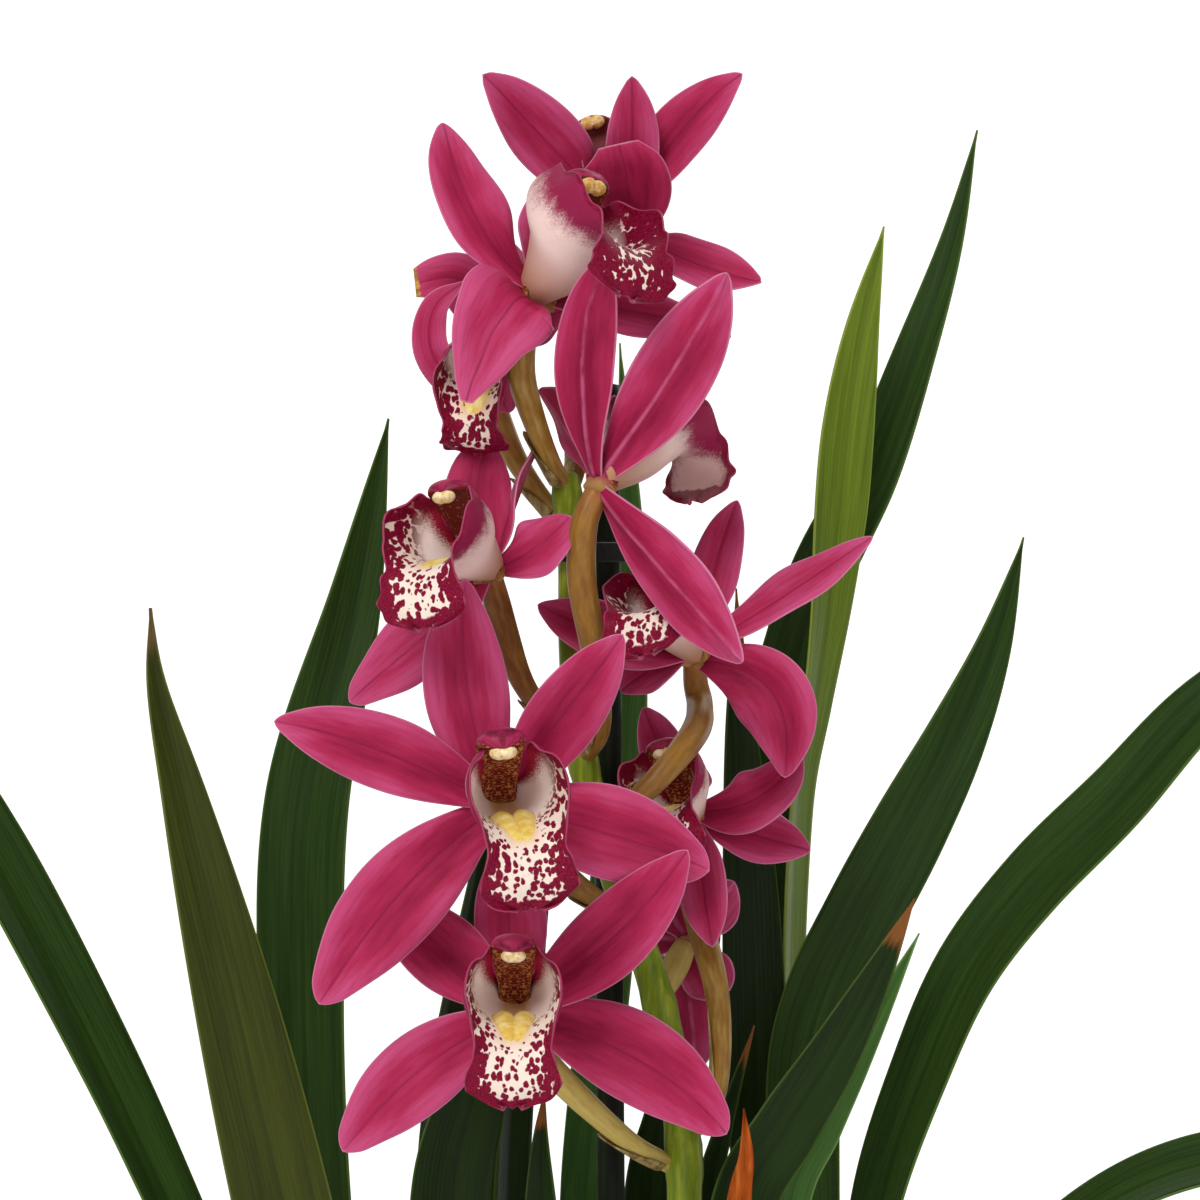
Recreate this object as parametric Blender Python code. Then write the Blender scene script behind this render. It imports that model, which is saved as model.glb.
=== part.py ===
"""A potted cymbidium orchid: one staked flower spike, strap leaves on four pseudobulbs, bark and a plain pot.

Lengths in the tables are millimetres, and MM turns them into Blender's metres. X is to the right, Y away
from the front of the plant and Z up. The origin is the centre of the pot's flat underside.
"""

import math

import bmesh
import bpy
from mathutils import Matrix, Vector

MM = 0.001
GAP = 0.35  # between pieces that touch

POT_HEIGHT = 130.0
POT_RIM_RADIUS = 78.0
POT_FOOT_RADIUS = 57.0
POT_WALL = 4.5
POT_FLOOR = 6.0
RIM_BAND = 12.0
POT_SEGMENTS = 36
BARK_TOP = 114.0

BULB_TOP = 152.0
BULB_FOOT = 98.0
BULB_SEGMENTS = 14
LEAF_THICKNESS = 1.5

SCAPE_ROUTE = [
    (18, -10, 116), (20, -10, 150), (24, -9, 220), (26, -7, 285), (25, -5, 305), (22, -3, 325),
    (16.5, -1, 345), (10, 0, 362), (3, 0, 385), (-0.5, 0, 402), (-2, 0, 424), (-2.3, 0, 446), (-3.6, 0, 466),
]
SCAPE_FOOT_RADIUS = 5.0
SCAPE_TIP_RADIUS = 3.2

STAKE_RADIUS = 3.6
STAKE_FOOT = (9.5, 10, 40)
STAKE_TOP = (6.3, 9.5, 489)
CLIP_HEIGHTS = {"clip_lower": 262.0, "clip_upper": 444.5}
CLIP_WALL = 1.3
CLIP_DEPTH = 5.0

HUB_RADIUS = 5.0
TEPAL_THICKNESS = 1.3
LIP_THICKNESS = 1.3

# Each bulb: centre x and y, and radius.
BULBS = {
    "pseudobulb_left": (-38, -2, 18),
    "pseudobulb_middle": (-9, 25, 16),
    "pseudobulb_right": (37, 17, 17),
    "pseudobulb_front": (43, -20, 12),
}

# Each leaf: a route from its bulb to its tip, its greatest width, where along it that is, how deep its fold is,
# and the way its upper face looks at its middle and at its tip.
LEAVES = {
    "leaf_far_left": dict(
        route=[(-49, -3, BULB_TOP), (-64, -4, 200), (-83, -5, 245), (-101, -6, 285), (-118, -10, 322),
               (-145, -16, 374), (-164, -22, 402), (-192, -30, 424), (-222, -38, 420), (-240, -44, 398)],
        width=20, widest=0.6, fold=0.30, middle=(0.62, -0.70, 0.2), tip=(0.3, -0.6, 0.75)),
    "leaf_left_front": dict(
        route=[(-42, -8, BULB_TOP), (-52, -13, 200), (-64, -17, 243), (-73.5, -20, 285), (-85, -24, 335),
               (-97, -28, 385), (-104, -32, 414), (-105.5, -35, 433)],
        width=24.5, widest=0.44, fold=0.16, middle=(0.1, -1, 0), tip=(0.5, -0.9, 0)),
    "leaf_left_back": dict(
        route=[(-35, 2, BULB_TOP), (-48, 6, 200), (-61, 8, 243), (-67.5, 10, 285), (-70.5, 14, 335),
               (-69, 18, 385), (-57, 24, 435), (-48.5, 28, 481)],
        width=23.5, widest=0.62, fold=0.20, middle=(-0.35, -1, 0), tip=(0.2, -1, 0)),
    "leaf_middle_left": dict(
        route=[(-29.5, 3, BULB_TOP), (-37, 12, 200), (-40, 21, 245), (-38, 29, 285), (-36, 33, 308),
               (-31, 37, 337), (-25.5, 41, 368), (-21, 44, 396)],
        width=14, widest=0.5, fold=0.25, middle=(0.9, -0.55, 0), tip=(0.8, -0.5, 0)),
    "leaf_middle_broad": dict(
        route=[(-17, 24, BULB_TOP), (-26, 20, 200), (-31, 16, 245), (-32, 15, 285), (-27, 16, 309), (-19, 18, 332),
               (-13, 20, 350)],
        width=22, widest=0.62, fold=0.14, middle=(0.25, -1, 0), tip=(0, -1, 0)),
    "leaf_middle_upright": dict(
        route=[(-12, 27, BULB_TOP), (-15, 34, 200), (-17, 39, 245), (-17, 44, 285), (-15, 50, 322), (-11, 58, 356),
               (-6, 66, 384)],
        width=16, widest=0.5, fold=0.25, middle=(0.85, -0.6, 0), tip=(0.5, -0.8, 0)),
    "leaf_middle_short": dict(
        route=[(-7, 20, BULB_TOP), (-7, 14, 200), (-9, 8, 245), (-10, 4, 285), (-10, 5, 300), (-9, 6, 312)],
        width=12, widest=0.6, fold=0.3, middle=(-0.4, -0.9, 0), tip=(0, -1, 0)),
    "leaf_middle_tall": dict(
        route=[(-2, 28, BULB_TOP), (-1, 35, 200), (-1, 40, 245), (0.5, 44, 285), (6, 48, 335), (10, 51, 380),
               (12, 53, 420), (12.5, 54, 455), (10, 55, 501)],
        width=14, widest=0.55, fold=0.22, middle=(-0.45, -0.9, 0), tip=(0, -1, 0)),
    "leaf_behind_stem": dict(
        route=[(28, 14, BULB_TOP), (22, 22, 200), (18, 28, 245), (17.5, 32, 285), (20, 34, 302), (23, 36, 316),
               (26, 38, 328)],
        width=15, widest=0.6, fold=0.15, middle=(0.2, -1, 0), tip=(0, -1, 0)),
    "leaf_right_dark": dict(
        route=[(33, 23, BULB_TOP), (39, 33, 200), (43, 38, 245), (46, 40, 285), (45, 41, 310), (43.5, 43, 360),
               (41, 45, 405), (40, 45, 438)],
        width=16, widest=0.62, fold=0.15, middle=(0.1, -1, 0), tip=(0.4, -1, 0)),
    "leaf_tall_right": dict(
        route=[(37, 26, BULB_TOP), (42, 42, 200), (46, 51, 245), (49, 55, 285), (47, 60, 345), (47.5, 63, 385),
               (53, 65, 415), (62, 67, 442), (75, 69, 468), (86, 71, 498), (96, 74, 528), (103, 77, 557)],
        width=17, widest=0.68, fold=0.2, middle=(-0.35, -1, 0), tip=(-0.5, -1, 0)),
    "leaf_tall_light": dict(
        route=[(41, 21, BULB_TOP), (50, 32, 200), (55, 42, 245), (57, 48, 285), (55, 51, 335), (57, 52, 382),
               (61, 53, 408), (64.5, 54, 432), (67, 54, 457), (69, 54, 480), (72.5, 55, 505), (78, 55, 531)],
        width=17.5, widest=0.78, fold=0.15, middle=(1.0, -0.35, 0), tip=(0.1, -1, 0)),
    "leaf_right_broad": dict(
        route=[(45, 15, BULB_TOP), (55, 20, 200), (59, 25, 245), (57, 28, 285), (57, 31, 315), (62, 33, 335),
               (72, 35, 355), (84, 38, 377), (96, 41, 400), (106, 44, 424), (113.5, 46, 451)],
        width=20.5, widest=0.7, fold=0.12, middle=(0.05, -1, 0.1), tip=(0.5, -0.9, 0.2)),
    "leaf_far_right": dict(
        route=[(48, 9, BULB_TOP), (60, 8, 200), (68, 6, 245), (74, 3, 285), (84.5, -1, 317), (96, -5, 343),
               (112.5, -9, 365), (133, -14, 386), (155, -19, 410), (182, -26, 428), (212, -34, 430),
               (238, -42, 416)],
        width=19.5, widest=0.62, fold=0.30, middle=(-0.55, -0.75, 0.2), tip=(-0.3, -0.6, 0.75)),
    "leaf_right_low": dict(
        route=[(50, -19, BULB_TOP), (68, -25, 200), (88, -32, 241), (108, -39, 271), (130, -46, 290),
               (156, -52, 300), (184, -58, 300), (212, -64, 286), (236, -69, 262)],
        width=20, widest=0.6, fold=0.2, middle=(-0.35, -0.55, 0.75), tip=(0.2, -0.6, 0.75)),
    "leaf_front_dark": dict(
        route=[(44, -25, BULB_TOP), (38, -25, 200), (36, -24, 245), (40.5, -23, 285), (51, -22, 304),
               (62.5, -21, 322), (73, -19, 341), (83, -17, 361)],
        width=16.5, widest=0.66, fold=0.15, middle=(0.1, -1, 0.05), tip=(0.1, -1, 0.1)),
    "leaf_front_behind": dict(
        route=[(46, -16, BULB_TOP), (47, -12, 200), (49, -10, 245), (52, -9, 285), (60, -9, 303),
               (68, -8, 319), (76, -7, 335), (84.5, -6, 352)],
        width=11, widest=0.66, fold=0.15, middle=(0.1, -1, 0.05), tip=(0.1, -1, 0.1)),
    "leaf_young": dict(
        route=[(39, -15, BULB_TOP), (37, -8, 200), (35, 0, 245), (33, 8, 285), (35.5, 10, 300), (39.5, 11, 314),
               (44, 12, 328)],
        width=9, widest=0.55, fold=0.25, middle=(0.4, -0.9, 0), tip=(0, -1, 0)),
    "dry_sheath": dict(
        route=[(40, -32, BULB_TOP - 4), (37, -34, 190), (36.5, -35, 240), (39, -35, 285), (41, -34, 298),
               (40.5, -33, 310)],
        width=7.5, widest=0.75, fold=0.45, middle=(0.15, -1, 0), tip=(0, -1, 0)),
}

# Each flower: its hub, the way it faces, the way its top points, and its stalk's route from the scape's axis.
# lip_curl is how far the lip's end rolls back under, from 0 to 1.
# Each sepal and petal: its tip from the hub, its width, how far its middle stands forward of a straight line and
# to its left, and the way its upper face looks, or None for the flower's own way.
FLOWERS = {
    "flower_01": dict(
        hub=(-16, -34, 334), faces=(0, -1, 0.1), top=(0, 0, 1), size=1.08, lip_curl=0,
        stalk=[(23, -6, 294), (14, -15, 299.5), (4, -21, 308), (-7, -24, 319), (-14, -26, 328)],
        dorsal_sepal=((-2, 13, 41), 18, 2, 0, None),
        left_petal=((-33, 8, 27), 19, 3, 0, None),
        right_petal=((42, -21, 40), 19, 2, -3, None),
        left_sepal=((-42, -6, -34), 20, 2, -3, None),
        right_sepal=((52, -4, -30), 22, 2, 5, None)),
    "flower_02": dict(
        hub=(-19.5, -40, 385), faces=(0.1, -1, 0.07), top=(-0.1, 0, 1), size=1.1, lip_curl=0,
        stalk=[(12, 0, 357), (5, -10, 360), (-5, -20, 368), (-14, -29, 378)],
        dorsal_sepal=((-8.5, 4, 55), 21, 2, 4, None),
        left_petal=((-55, -8, 20.5), 18.5, 2, -2, None),
        right_petal=((30, -12, 41.5), 18, 2, 0, None),
        left_sepal=((-44, -8, -48.5), 23, 2, -3, None),
        right_sepal=((51, -8, -16), 23, 2, 1.5, None)),
    "flower_03": dict(
        hub=(-22.5, -22, 443), faces=(-0.45, -0.8, 0.4), top=(0, 0.3, 1), size=1.0, lip_curl=0,
        stalk=[(-0.5, 0, 402), (-8, -4, 406), (-14.5, -9, 415), (-19, -12, 428)],
        dorsal_sepal=((0, 17, 33), 18, 2, 3, (-0.2, -1, 0)),
        left_petal=((-26, -2, 13), 19, 3, 0, (-0.3, -0.9, 0.4)),
        right_petal=((10.5, 21, 31), 14, 2, 0, (-1, -0.2, 0.2)),
        left_sepal=((-35, 2, -33), 18, 2, 2, (-0.3, -1, 0.3)),
        right_sepal=((20, -2, 13), 16, 2, -3, (-0.2, -0.8, 0.4))),
    "flower_04": dict(
        hub=(-11, -16, 511), faces=(0.54, -0.54, 0.65), top=(-0.2, 0.68, 0.7), size=1.18, lip_curl=0.2,
        stalk=[(-3.6, 0, 463), (-7, -6, 469), (-11.5, -12, 480), (-14.5, -15, 491), (-14, -16, 501.5)],
        dorsal_sepal=((-12, 36, 18), 17, 2, 0, None),
        left_petal=((-22.5, 2, 43.5), 19, 2, 4, (0.35, -0.9, 0.2)),
        right_petal=((4, 34, 28), 16, 2, 0, None),
        left_sepal=((-20, -24, -27), 24, 10, 0, None),
        right_sepal=((49, 8, -10), 14, 2, 0, (0, -0.8, 0.5))),
    "flower_05": dict(
        hub=(10.5, 15, 530), faces=(-0.38, 0.36, 0.85), top=(0, -0.88, 0.42), size=0.85, lip_curl=0.5,
        stalk=[(-3.5, 0, 461), (-1, 9, 468), (-0.5, 15, 480), (2, 16, 498), (7, 13, 517)],
        dorsal_sepal=((2.5, -13, 36), 13.5, -2, 0, (0, -1, 0)),
        left_petal=((-34, -19, 36), 18, 2, 0, (0.1, -1, 0.2)),
        right_petal=((30, -10, 37), 15, 2, -3, (-0.2, -1, 0.1)),
        left_sepal=((11, -21, 13), 17.5, 2, 2, (0, -1, -0.1)),
        right_sepal=((35, -2, -15), 14, 2, 5, (-0.1, -0.8, 0.5))),
    "flower_06": dict(
        hub=(5, -25, 464), faces=(0.7, 0.6, 0.4), top=(-0.3, -0.2, 0.9), size=1.0, lip_curl=0.6,
        stalk=[(0.5, 0, 395), (5, -9, 402), (5, -15, 412), (3, -20, 425), (0.5, -24, 440), (1, -26, 453)],
        dorsal_sepal=((1, -17, 54.5), 19, 2, -8, (0.3, 0.95, 0)),
        left_petal=((31, -20, 51), 20, 3, 0, (0.1, 1, 0.2)),
        right_petal=((-14, 24, 24), 15, 2, 0, None),
        left_sepal=((36, -36, -44), 18, 2, 3, (0.3, 0.9, 0.3)),
        right_sepal=((14, 24, -16), 13, 2, 0, None)),
    "flower_07": dict(
        hub=(28.5, 0, 422), faces=(-0.42, -0.6, 0.67), top=(0, 0.68, 0.74), size=0.92, lip_curl=0,
        stalk=[(5, 0, 378), (5, -15, 380), (13, -27, 385), (23, -25, 396), (28, -8, 405), (27, 8, 411.5)],
        dorsal_sepal=((11, 10, 38), 13, 2, 0, (-0.2, -1, 0.1)),
        left_petal=((-19, 3, -10), 12, 2, 0, (0, -0.9, 0.5)),
        right_petal=((44.5, -2, 29), 13, 2, -2, (-0.3, -0.8, 0.6)),
        left_sepal=((-39, -8, 12), 16, 2, 4, (0, -1, 0.3)),
        right_sepal=((22, -12, -31), 20, 3, 9, (-0.3, -1, 0.2))),
    "flower_08": dict(
        hub=(28, 14, 381), faces=(-0.3, -0.85, 0.43), top=(-0.1, 0.4, 0.9), size=0.88, lip_curl=0,
        stalk=[(25.5, -5, 300), (33, -9, 309), (35, -12, 322), (34, -6, 338), (30, 7, 354), (27, 19, 367)],
        dorsal_sepal=((-2, 25, 11), 14, 2, 0, None),
        left_petal=((-12, 10, 27), 12, 2, 0, None),
        right_petal=((27, -6, 16), 17, 2, -6, None),
        left_sepal=((5, -27, -32), 13, 2, 0, None),
        right_sepal=((30, 0, -9), 15, 2, 0, None)),
    "flower_09": dict(
        hub=(-23, 0, 500), faces=(-0.2, -0.86, -0.47), top=(-0.1, -0.5, 0.85), size=0.74, lip_curl=0,
        stalk=[(-3, 0, 453.5), (-9, 6, 460), (-17, 11, 472), (-23, 13, 488)],
        dorsal_sepal=((2, 20, 26), 15, 2, 0, None),
        left_petal=((-20, 4, 15), 15, 2, 0, None),
        right_petal=((20, 4, 8), 12, 2, 0, None),
        left_sepal=((-10, -4, 15), 12, 3, 12, None),
        right_sepal=((5, 3, -19), 10, 2, 0, None)),
    "flower_10": dict(
        hub=(27, 19, 349), faces=(0, 0.95, 0.05), top=(0, 0.1, 1), size=0.7, lip_curl=0.5,
        stalk=[(19, -2, 335), (20, 4, 336), (22.5, 10, 340)],
        dorsal_sepal=((-15, 10, 26), 14, 2, 0, None),
        left_petal=((12, 6, 15), 14, 2, 0, None),
        right_petal=((-28, 8, 4), 15, 2, 0, None),
        left_sepal=((9, -5, -15), 14, 2, 0, None),
        right_sepal=((2, 8, -34), 16, 2, 0, None)),
}
TEPALS = ("dorsal_sepal", "left_petal", "right_petal", "left_sepal", "right_sepal")

# The lip's own frame: forward out of the flower, and up. Then, along the lip: the half width and the depth of its
# trough, and how far round its sides rise, in degrees.
LIP_LINE = [(6, -5.5), (13, -7.5), (20, -9), (27, -11), (32, -16), (32.5, -23), (28.5, -29)]
LIP_CURLED = [(6, -5.5), (13, -7.5), (20, -9), (26.5, -10.5), (30, -15), (27, -20), (21, -21)]
LIP_TROUGH = [(5, 5, 95), (8, 8.5, 118), (10.5, 10.5, 125), (10, 8, 108), (10.5, 2, 85), (11.2, -1, 85),
              (7.5, -2, 75)]
COLUMN_LINE = [(2.6, 0.8), (8, 4), (16, 8), (23, 10)]
COLUMN_RADII = [3.0, 3.3, 3.8, 3.2]
STALK_RADII = (2.3, 2.7, 3.5, 3.0)


# ---- helpers -------------------------------------------------------------------------------------------------

def clear_scene():
    for obj in list(bpy.data.objects):
        bpy.data.objects.remove(obj)


def material(name, colour, roughness):
    made = bpy.data.materials.new(name)
    made.use_nodes = True
    shader = made.node_tree.nodes["Principled BSDF"]
    shader.inputs["Base Color"].default_value = (*colour, 1)
    shader.inputs["Roughness"].default_value = roughness
    shader.inputs["Metallic"].default_value = 0
    return made


def add_root():
    """The empty that every piece is parented to, at the centre of the pot's underside."""
    root = bpy.data.objects.new("potted_orchid", None)
    root.empty_display_size = 0.1
    bpy.context.scene.collection.objects.link(root)
    return root


def link_mesh(name, build, look, place, smooth_angle=35):
    """An object whose origin is at place, from a bmesh in the plant's own frame and millimetres."""
    bmesh.ops.recalc_face_normals(build, faces=build.faces)
    mesh = bpy.data.meshes.new(name)
    build.to_mesh(mesh)
    build.free()
    mesh.transform(Matrix.Scale(MM, 4) @ Matrix.Translation(-Vector(place)))
    mesh.shade_smooth()
    mesh.set_sharp_from_angle(angle=math.radians(smooth_angle))
    mesh.materials.append(look)
    obj = bpy.data.objects.new(name, mesh)
    obj.location = Vector(place) * MM
    obj.parent = bpy.data.objects["potted_orchid"]
    bpy.context.scene.collection.objects.link(obj)
    return obj


def make_helper(obj):
    """A cutter or a shape that a Boolean joins: not a piece of its own."""
    obj.hide_render = True
    obj.display_type = "WIRE"
    return obj


def boolean(obj, other, operation):
    cut = obj.modifiers.new(operation.lower(), "BOOLEAN")
    cut.operation = operation
    cut.solver = "EXACT"
    cut.object = other


def along(values, s):
    """The value at share s of an evenly spaced list, on a Catmull-Rom curve. Values are tuples."""
    spans = len(values) - 1
    i = min(int(s * spans), spans - 1)
    t = s * spans - i
    picked = [Vector(values[min(max(k, 0), spans)]) for k in (i - 1, i, i + 1, i + 2)]
    if i == 0:
        picked[0] = picked[1] * 2 - picked[2]
    if i == spans - 1:
        picked[3] = picked[2] * 2 - picked[1]
    a, b, c, d = picked
    return (b * 2 + (c - a) * t + (a * 2 - b * 5 + c * 4 - d) * t**2 + (b * 3 - a - c * 3 + d) * t**3) / 2


def even_points(route, count):
    """count points at equal distances along a smooth curve through the route."""
    fine = [along(route, k / 240) for k in range(241)]
    run = [0.0]
    for before, after in zip(fine, fine[1:]):
        run.append(run[-1] + (after - before).length)
    points, k = [], 0
    for n in range(count):
        wanted = run[-1] * n / (count - 1)
        while k < 239 and run[k + 1] < wanted:
            k += 1
        share = (wanted - run[k]) / (run[k + 1] - run[k])
        points.append(fine[k].lerp(fine[k + 1], share))
    return points


def tangents(points):
    last = len(points) - 1
    return [(points[min(k + 1, last)] - points[max(k - 1, 0)]).normalized() for k in range(last + 1)]


def square_to(vector, axis):
    return (vector - axis * vector.dot(axis)).normalized()


def smooth_step(x):
    x = min(max(x, 0.0), 1.0)
    return x * x * (3 - 2 * x)


def loft(rings, back=(), end=None):
    """A closed body of triangles through rings of equally many points, with flat ends.

    The columns in back split their quads the other way, so that both sides of a thin blade fold alike. end lists
    the triangles that fill a ring, if a fan from its first point does not.
    """
    build = bmesh.new()
    made = [[build.verts.new(p) for p in ring] for ring in rings]
    for near, far in zip(made, made[1:]):
        for k in range(len(near)):
            n = (k + 1) % len(near)
            if k in back:
                build.faces.new((near[k], near[n], far[k]))
                build.faces.new((near[n], far[n], far[k]))
            else:
                build.faces.new((near[k], near[n], far[n]))
                build.faces.new((near[k], far[n], far[k]))
    for a, b, c in end or [(0, k, k + 1) for k in range(1, len(rings[0]) - 1)]:
        build.faces.new((made[0][a], made[0][b], made[0][c]))
        build.faces.new((made[-1][c], made[-1][b], made[-1][a]))
    return build


def tube(route, radii, rings, sides, flatten=1.0, across=None):
    """A loft along a route whose radius follows the radii. flatten squeezes it square to the direction across."""
    points = even_points(route, rings)
    lines = tangents(points)
    side = square_to(Vector(across or (1, 0.01, 0)), lines[0])
    made = []
    for k, (point, line) in enumerate(zip(points, lines)):
        side = square_to(side, line)
        other = line.cross(side)
        radius = along([(r, 0, 0) for r in radii], k / (rings - 1))[0]
        ring = []
        for n in range(sides):
            angle = 2 * math.pi * n / sides
            ring.append(point + side * math.cos(angle) * radius + other * math.sin(angle) * radius * flatten)
        made.append(ring)
    return loft(made)


def blade(points, lines, normals, widths, fold, thickness):
    """A thin strap: two strips meeting at a midrib that lies behind its edges by fold times the half width."""
    rings = []
    for point, line, normal, width in zip(points, lines, normals, widths):
        side = normal.cross(line).normalized()
        half = width / 2
        rib = -normal * fold * half
        back = -normal * thickness * min(1, 0.35 + width / 12)
        edge = back * 0.6
        left, right = point - side * half, point + side * half
        rings.append([left, point + rib, right, right + edge, point + rib + back, left + edge])
    return loft(rings, (3, 4), ((0, 1, 4), (0, 4, 5), (1, 2, 3), (1, 3, 4)))


# ---- pot, bark, bulbs ------------------------------------------------------------------------------------------

def lathe(profile, segments, centre=(0, 0)):
    """A closed body turned from (radius, height) points; a radius of 0 is a pole."""
    build = bmesh.new()
    rings = []
    for radius, height in profile:
        if radius == 0:
            rings.append([build.verts.new((*centre, height))])
            continue
        ring = []
        for k in range(segments):
            angle = 2 * math.pi * k / segments
            x, y = centre[0] + radius * math.cos(angle), centre[1] + radius * math.sin(angle)
            ring.append(build.verts.new((x, y, height)))
        rings.append(ring)
    for low, high in zip(rings, rings[1:]):
        for k in range(segments):
            n = (k + 1) % segments
            corners = [low[k % len(low)], low[n % len(low)], high[n % len(high)], high[k % len(high)]]
            build.faces.new(list(dict.fromkeys(corners)))
    return build


def pot_radius(height, inset=0.0):
    share = height / POT_HEIGHT
    return POT_FOOT_RADIUS + (POT_RIM_RADIUS - POT_FOOT_RADIUS) * share**0.9 - inset


def make_pot(look):
    inside = pot_radius(POT_HEIGHT, POT_WALL)
    band_foot = POT_HEIGHT - RIM_BAND
    round_off = 1.5
    outer = [(0, 0), (POT_FOOT_RADIUS - round_off, 0)]
    outer += [(pot_radius(height), height) for height in (2 * round_off, 40, 85, band_foot)]
    rim = [
        (POT_RIM_RADIUS, band_foot + round_off), (POT_RIM_RADIUS, POT_HEIGHT - round_off),
        (POT_RIM_RADIUS - round_off, POT_HEIGHT), (inside + round_off, POT_HEIGHT), (inside, POT_HEIGHT - round_off),
    ]
    inner = [(pot_radius(height, POT_WALL), height) for height in (85, 40, POT_FLOOR)] + [(0, POT_FLOOR)]
    profile = outer + rim + inner
    return link_mesh("pot", lathe(profile, POT_SEGMENTS), look, (0, 0, 0), 30)


def make_bark(look, cutters):
    floor = POT_FLOOR + GAP
    inset = POT_WALL + 1.5 * GAP
    shoulder = BARK_TOP - 4
    profile = [(0, floor)] + [(pot_radius(height, inset), height) for height in (floor, 40, 85, shoulder)]
    profile += [(58, BARK_TOP - 1), (38, BARK_TOP), (0, BARK_TOP + 1)]
    bark = link_mesh("bark_mix", lathe(profile, POT_SEGMENTS), look, (0, 0, floor))
    for cutter in cutters:
        boolean(bark, cutter, "DIFFERENCE")
    return bark


def bulb_profile(radius, grow=0.0):
    top, foot = BULB_TOP + grow, BULB_FOOT - grow
    shares = [(0.55, 0), (0.86, 0.12), (1.0, 0.36), (0.99, 0.58), (0.88, 0.80), (0.76, 0.94), (0.68, 1)]
    return [(0, foot)] + [(radius * r + grow, foot + (top - foot) * h) for r, h in shares] + [(0, top)]


def make_bulbs(look):
    cutters = []
    for name, (x, y, radius) in BULBS.items():
        place = (x, y, BULB_FOOT)
        link_mesh(name, lathe(bulb_profile(radius), BULB_SEGMENTS, (x, y)), look, place)
        room = lathe(bulb_profile(radius, GAP), BULB_SEGMENTS, (x, y))
        cutters.append(make_helper(link_mesh(name + "_room", room, look, place)))
    return cutters


# ---- leaves ----------------------------------------------------------------------------------------------------

def leaf_width(s, widest):
    """The leaf's width at share s of its length, from 0 to 1."""
    if s < widest:
        return 0.55 + 0.45 * smooth_step(s / widest)
    return max(1 - ((s - widest) / (1 - widest))**1.9, 0.05)


def make_leaf(name, leaf, look):
    count = 13
    base = Vector(leaf["route"][0]) + Vector((0, 0, GAP))
    points = even_points([base] + leaf["route"][1:], count)
    lines = tangents(points)
    lines[0] = Vector((0, 0, 1))
    outward = 1 if points[2].x > points[0].x else -1
    base_face = Vector((-outward, 0, 0.2))
    normals = []
    for k, line in enumerate(lines):
        s = k / (count - 1)
        face = base_face.lerp(Vector(leaf["middle"]).normalized(), smooth_step(s / 0.42))
        face = face.lerp(Vector(leaf["tip"]).normalized(), smooth_step((s - 0.6) / 0.4))
        normals.append(square_to(face, line))
    widths = [leaf["width"] * leaf_width(k / (count - 1), leaf["widest"]) for k in range(count)]
    return link_mesh(name, blade(points, lines, normals, widths, leaf["fold"], LEAF_THICKNESS), look, base)


# ---- spike -----------------------------------------------------------------------------------------------------

def scape_body(grow=0.0):
    radii = [SCAPE_FOOT_RADIUS + grow, SCAPE_FOOT_RADIUS - 0.3 + grow, SCAPE_TIP_RADIUS + 0.7 + grow,
             SCAPE_TIP_RADIUS + grow]
    return tube(SCAPE_ROUTE, radii, 20, 10)


def stake_body(grow=0.0):
    foot = Vector(STAKE_FOOT) - Vector((0, 0, grow))
    return tube([foot, STAKE_TOP], [STAKE_RADIUS + grow] * 2, 2, 12)


def height_point(route, height):
    """The point of a rising route at this height."""
    for low, high in zip(route, route[1:]):
        if low[2] <= height <= high[2]:
            return Vector(low).lerp(Vector(high), (height - low[2]) / (high[2] - low[2]))
    raise ValueError(height)


def make_clip(name, height, look):
    """A band round the scape and the stake, like two half circles joined by straight sides."""
    stem = height_point(SCAPE_ROUTE, height)
    stake = height_point([STAKE_FOOT, STAKE_TOP], height)
    direction = (stake - stem).to_2d().normalized()
    room = SCAPE_TIP_RADIUS + 2.2
    build = bmesh.new()
    loops = []
    for reach, z in ((room + CLIP_WALL, height), (room + CLIP_WALL, height + CLIP_DEPTH),
                     (room, height + CLIP_DEPTH), (room, height)):
        loop = []
        for centre, turn in ((stake, 0), (stem, math.pi)):
            for k in range(9):
                angle = math.atan2(direction.y, direction.x) - math.pi / 2 + math.pi * k / 8 + turn
                loop.append(build.verts.new((centre.x + reach * math.cos(angle),
                                             centre.y + reach * math.sin(angle), z)))
        loops.append(loop)
    for near, far in zip(loops, loops[1:] + loops[:1]):
        for k in range(len(near)):
            n = (k + 1) % len(near)
            build.faces.new((near[k], near[n], far[n], far[k]))
    return link_mesh(name, build, look, stem, 30)


# ---- flowers ---------------------------------------------------------------------------------------------------

def flower_frame(flower):
    """The flower's own directions: forward, up and to the right as seen from its front."""
    forward = Vector(flower["faces"]).normalized()
    up = square_to(Vector(flower["top"]), forward)
    return forward, up, up.cross(forward)


def tepal_width(s):
    """The share of the greatest width at share s of a sepal's or petal's length."""
    shares = [0.26, 0.60, 0.86, 0.99, 0.98, 0.80, 0.46, 0.05]
    return max(along([(w, 0, 0) for w in shares], s)[0], 0.05)


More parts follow.
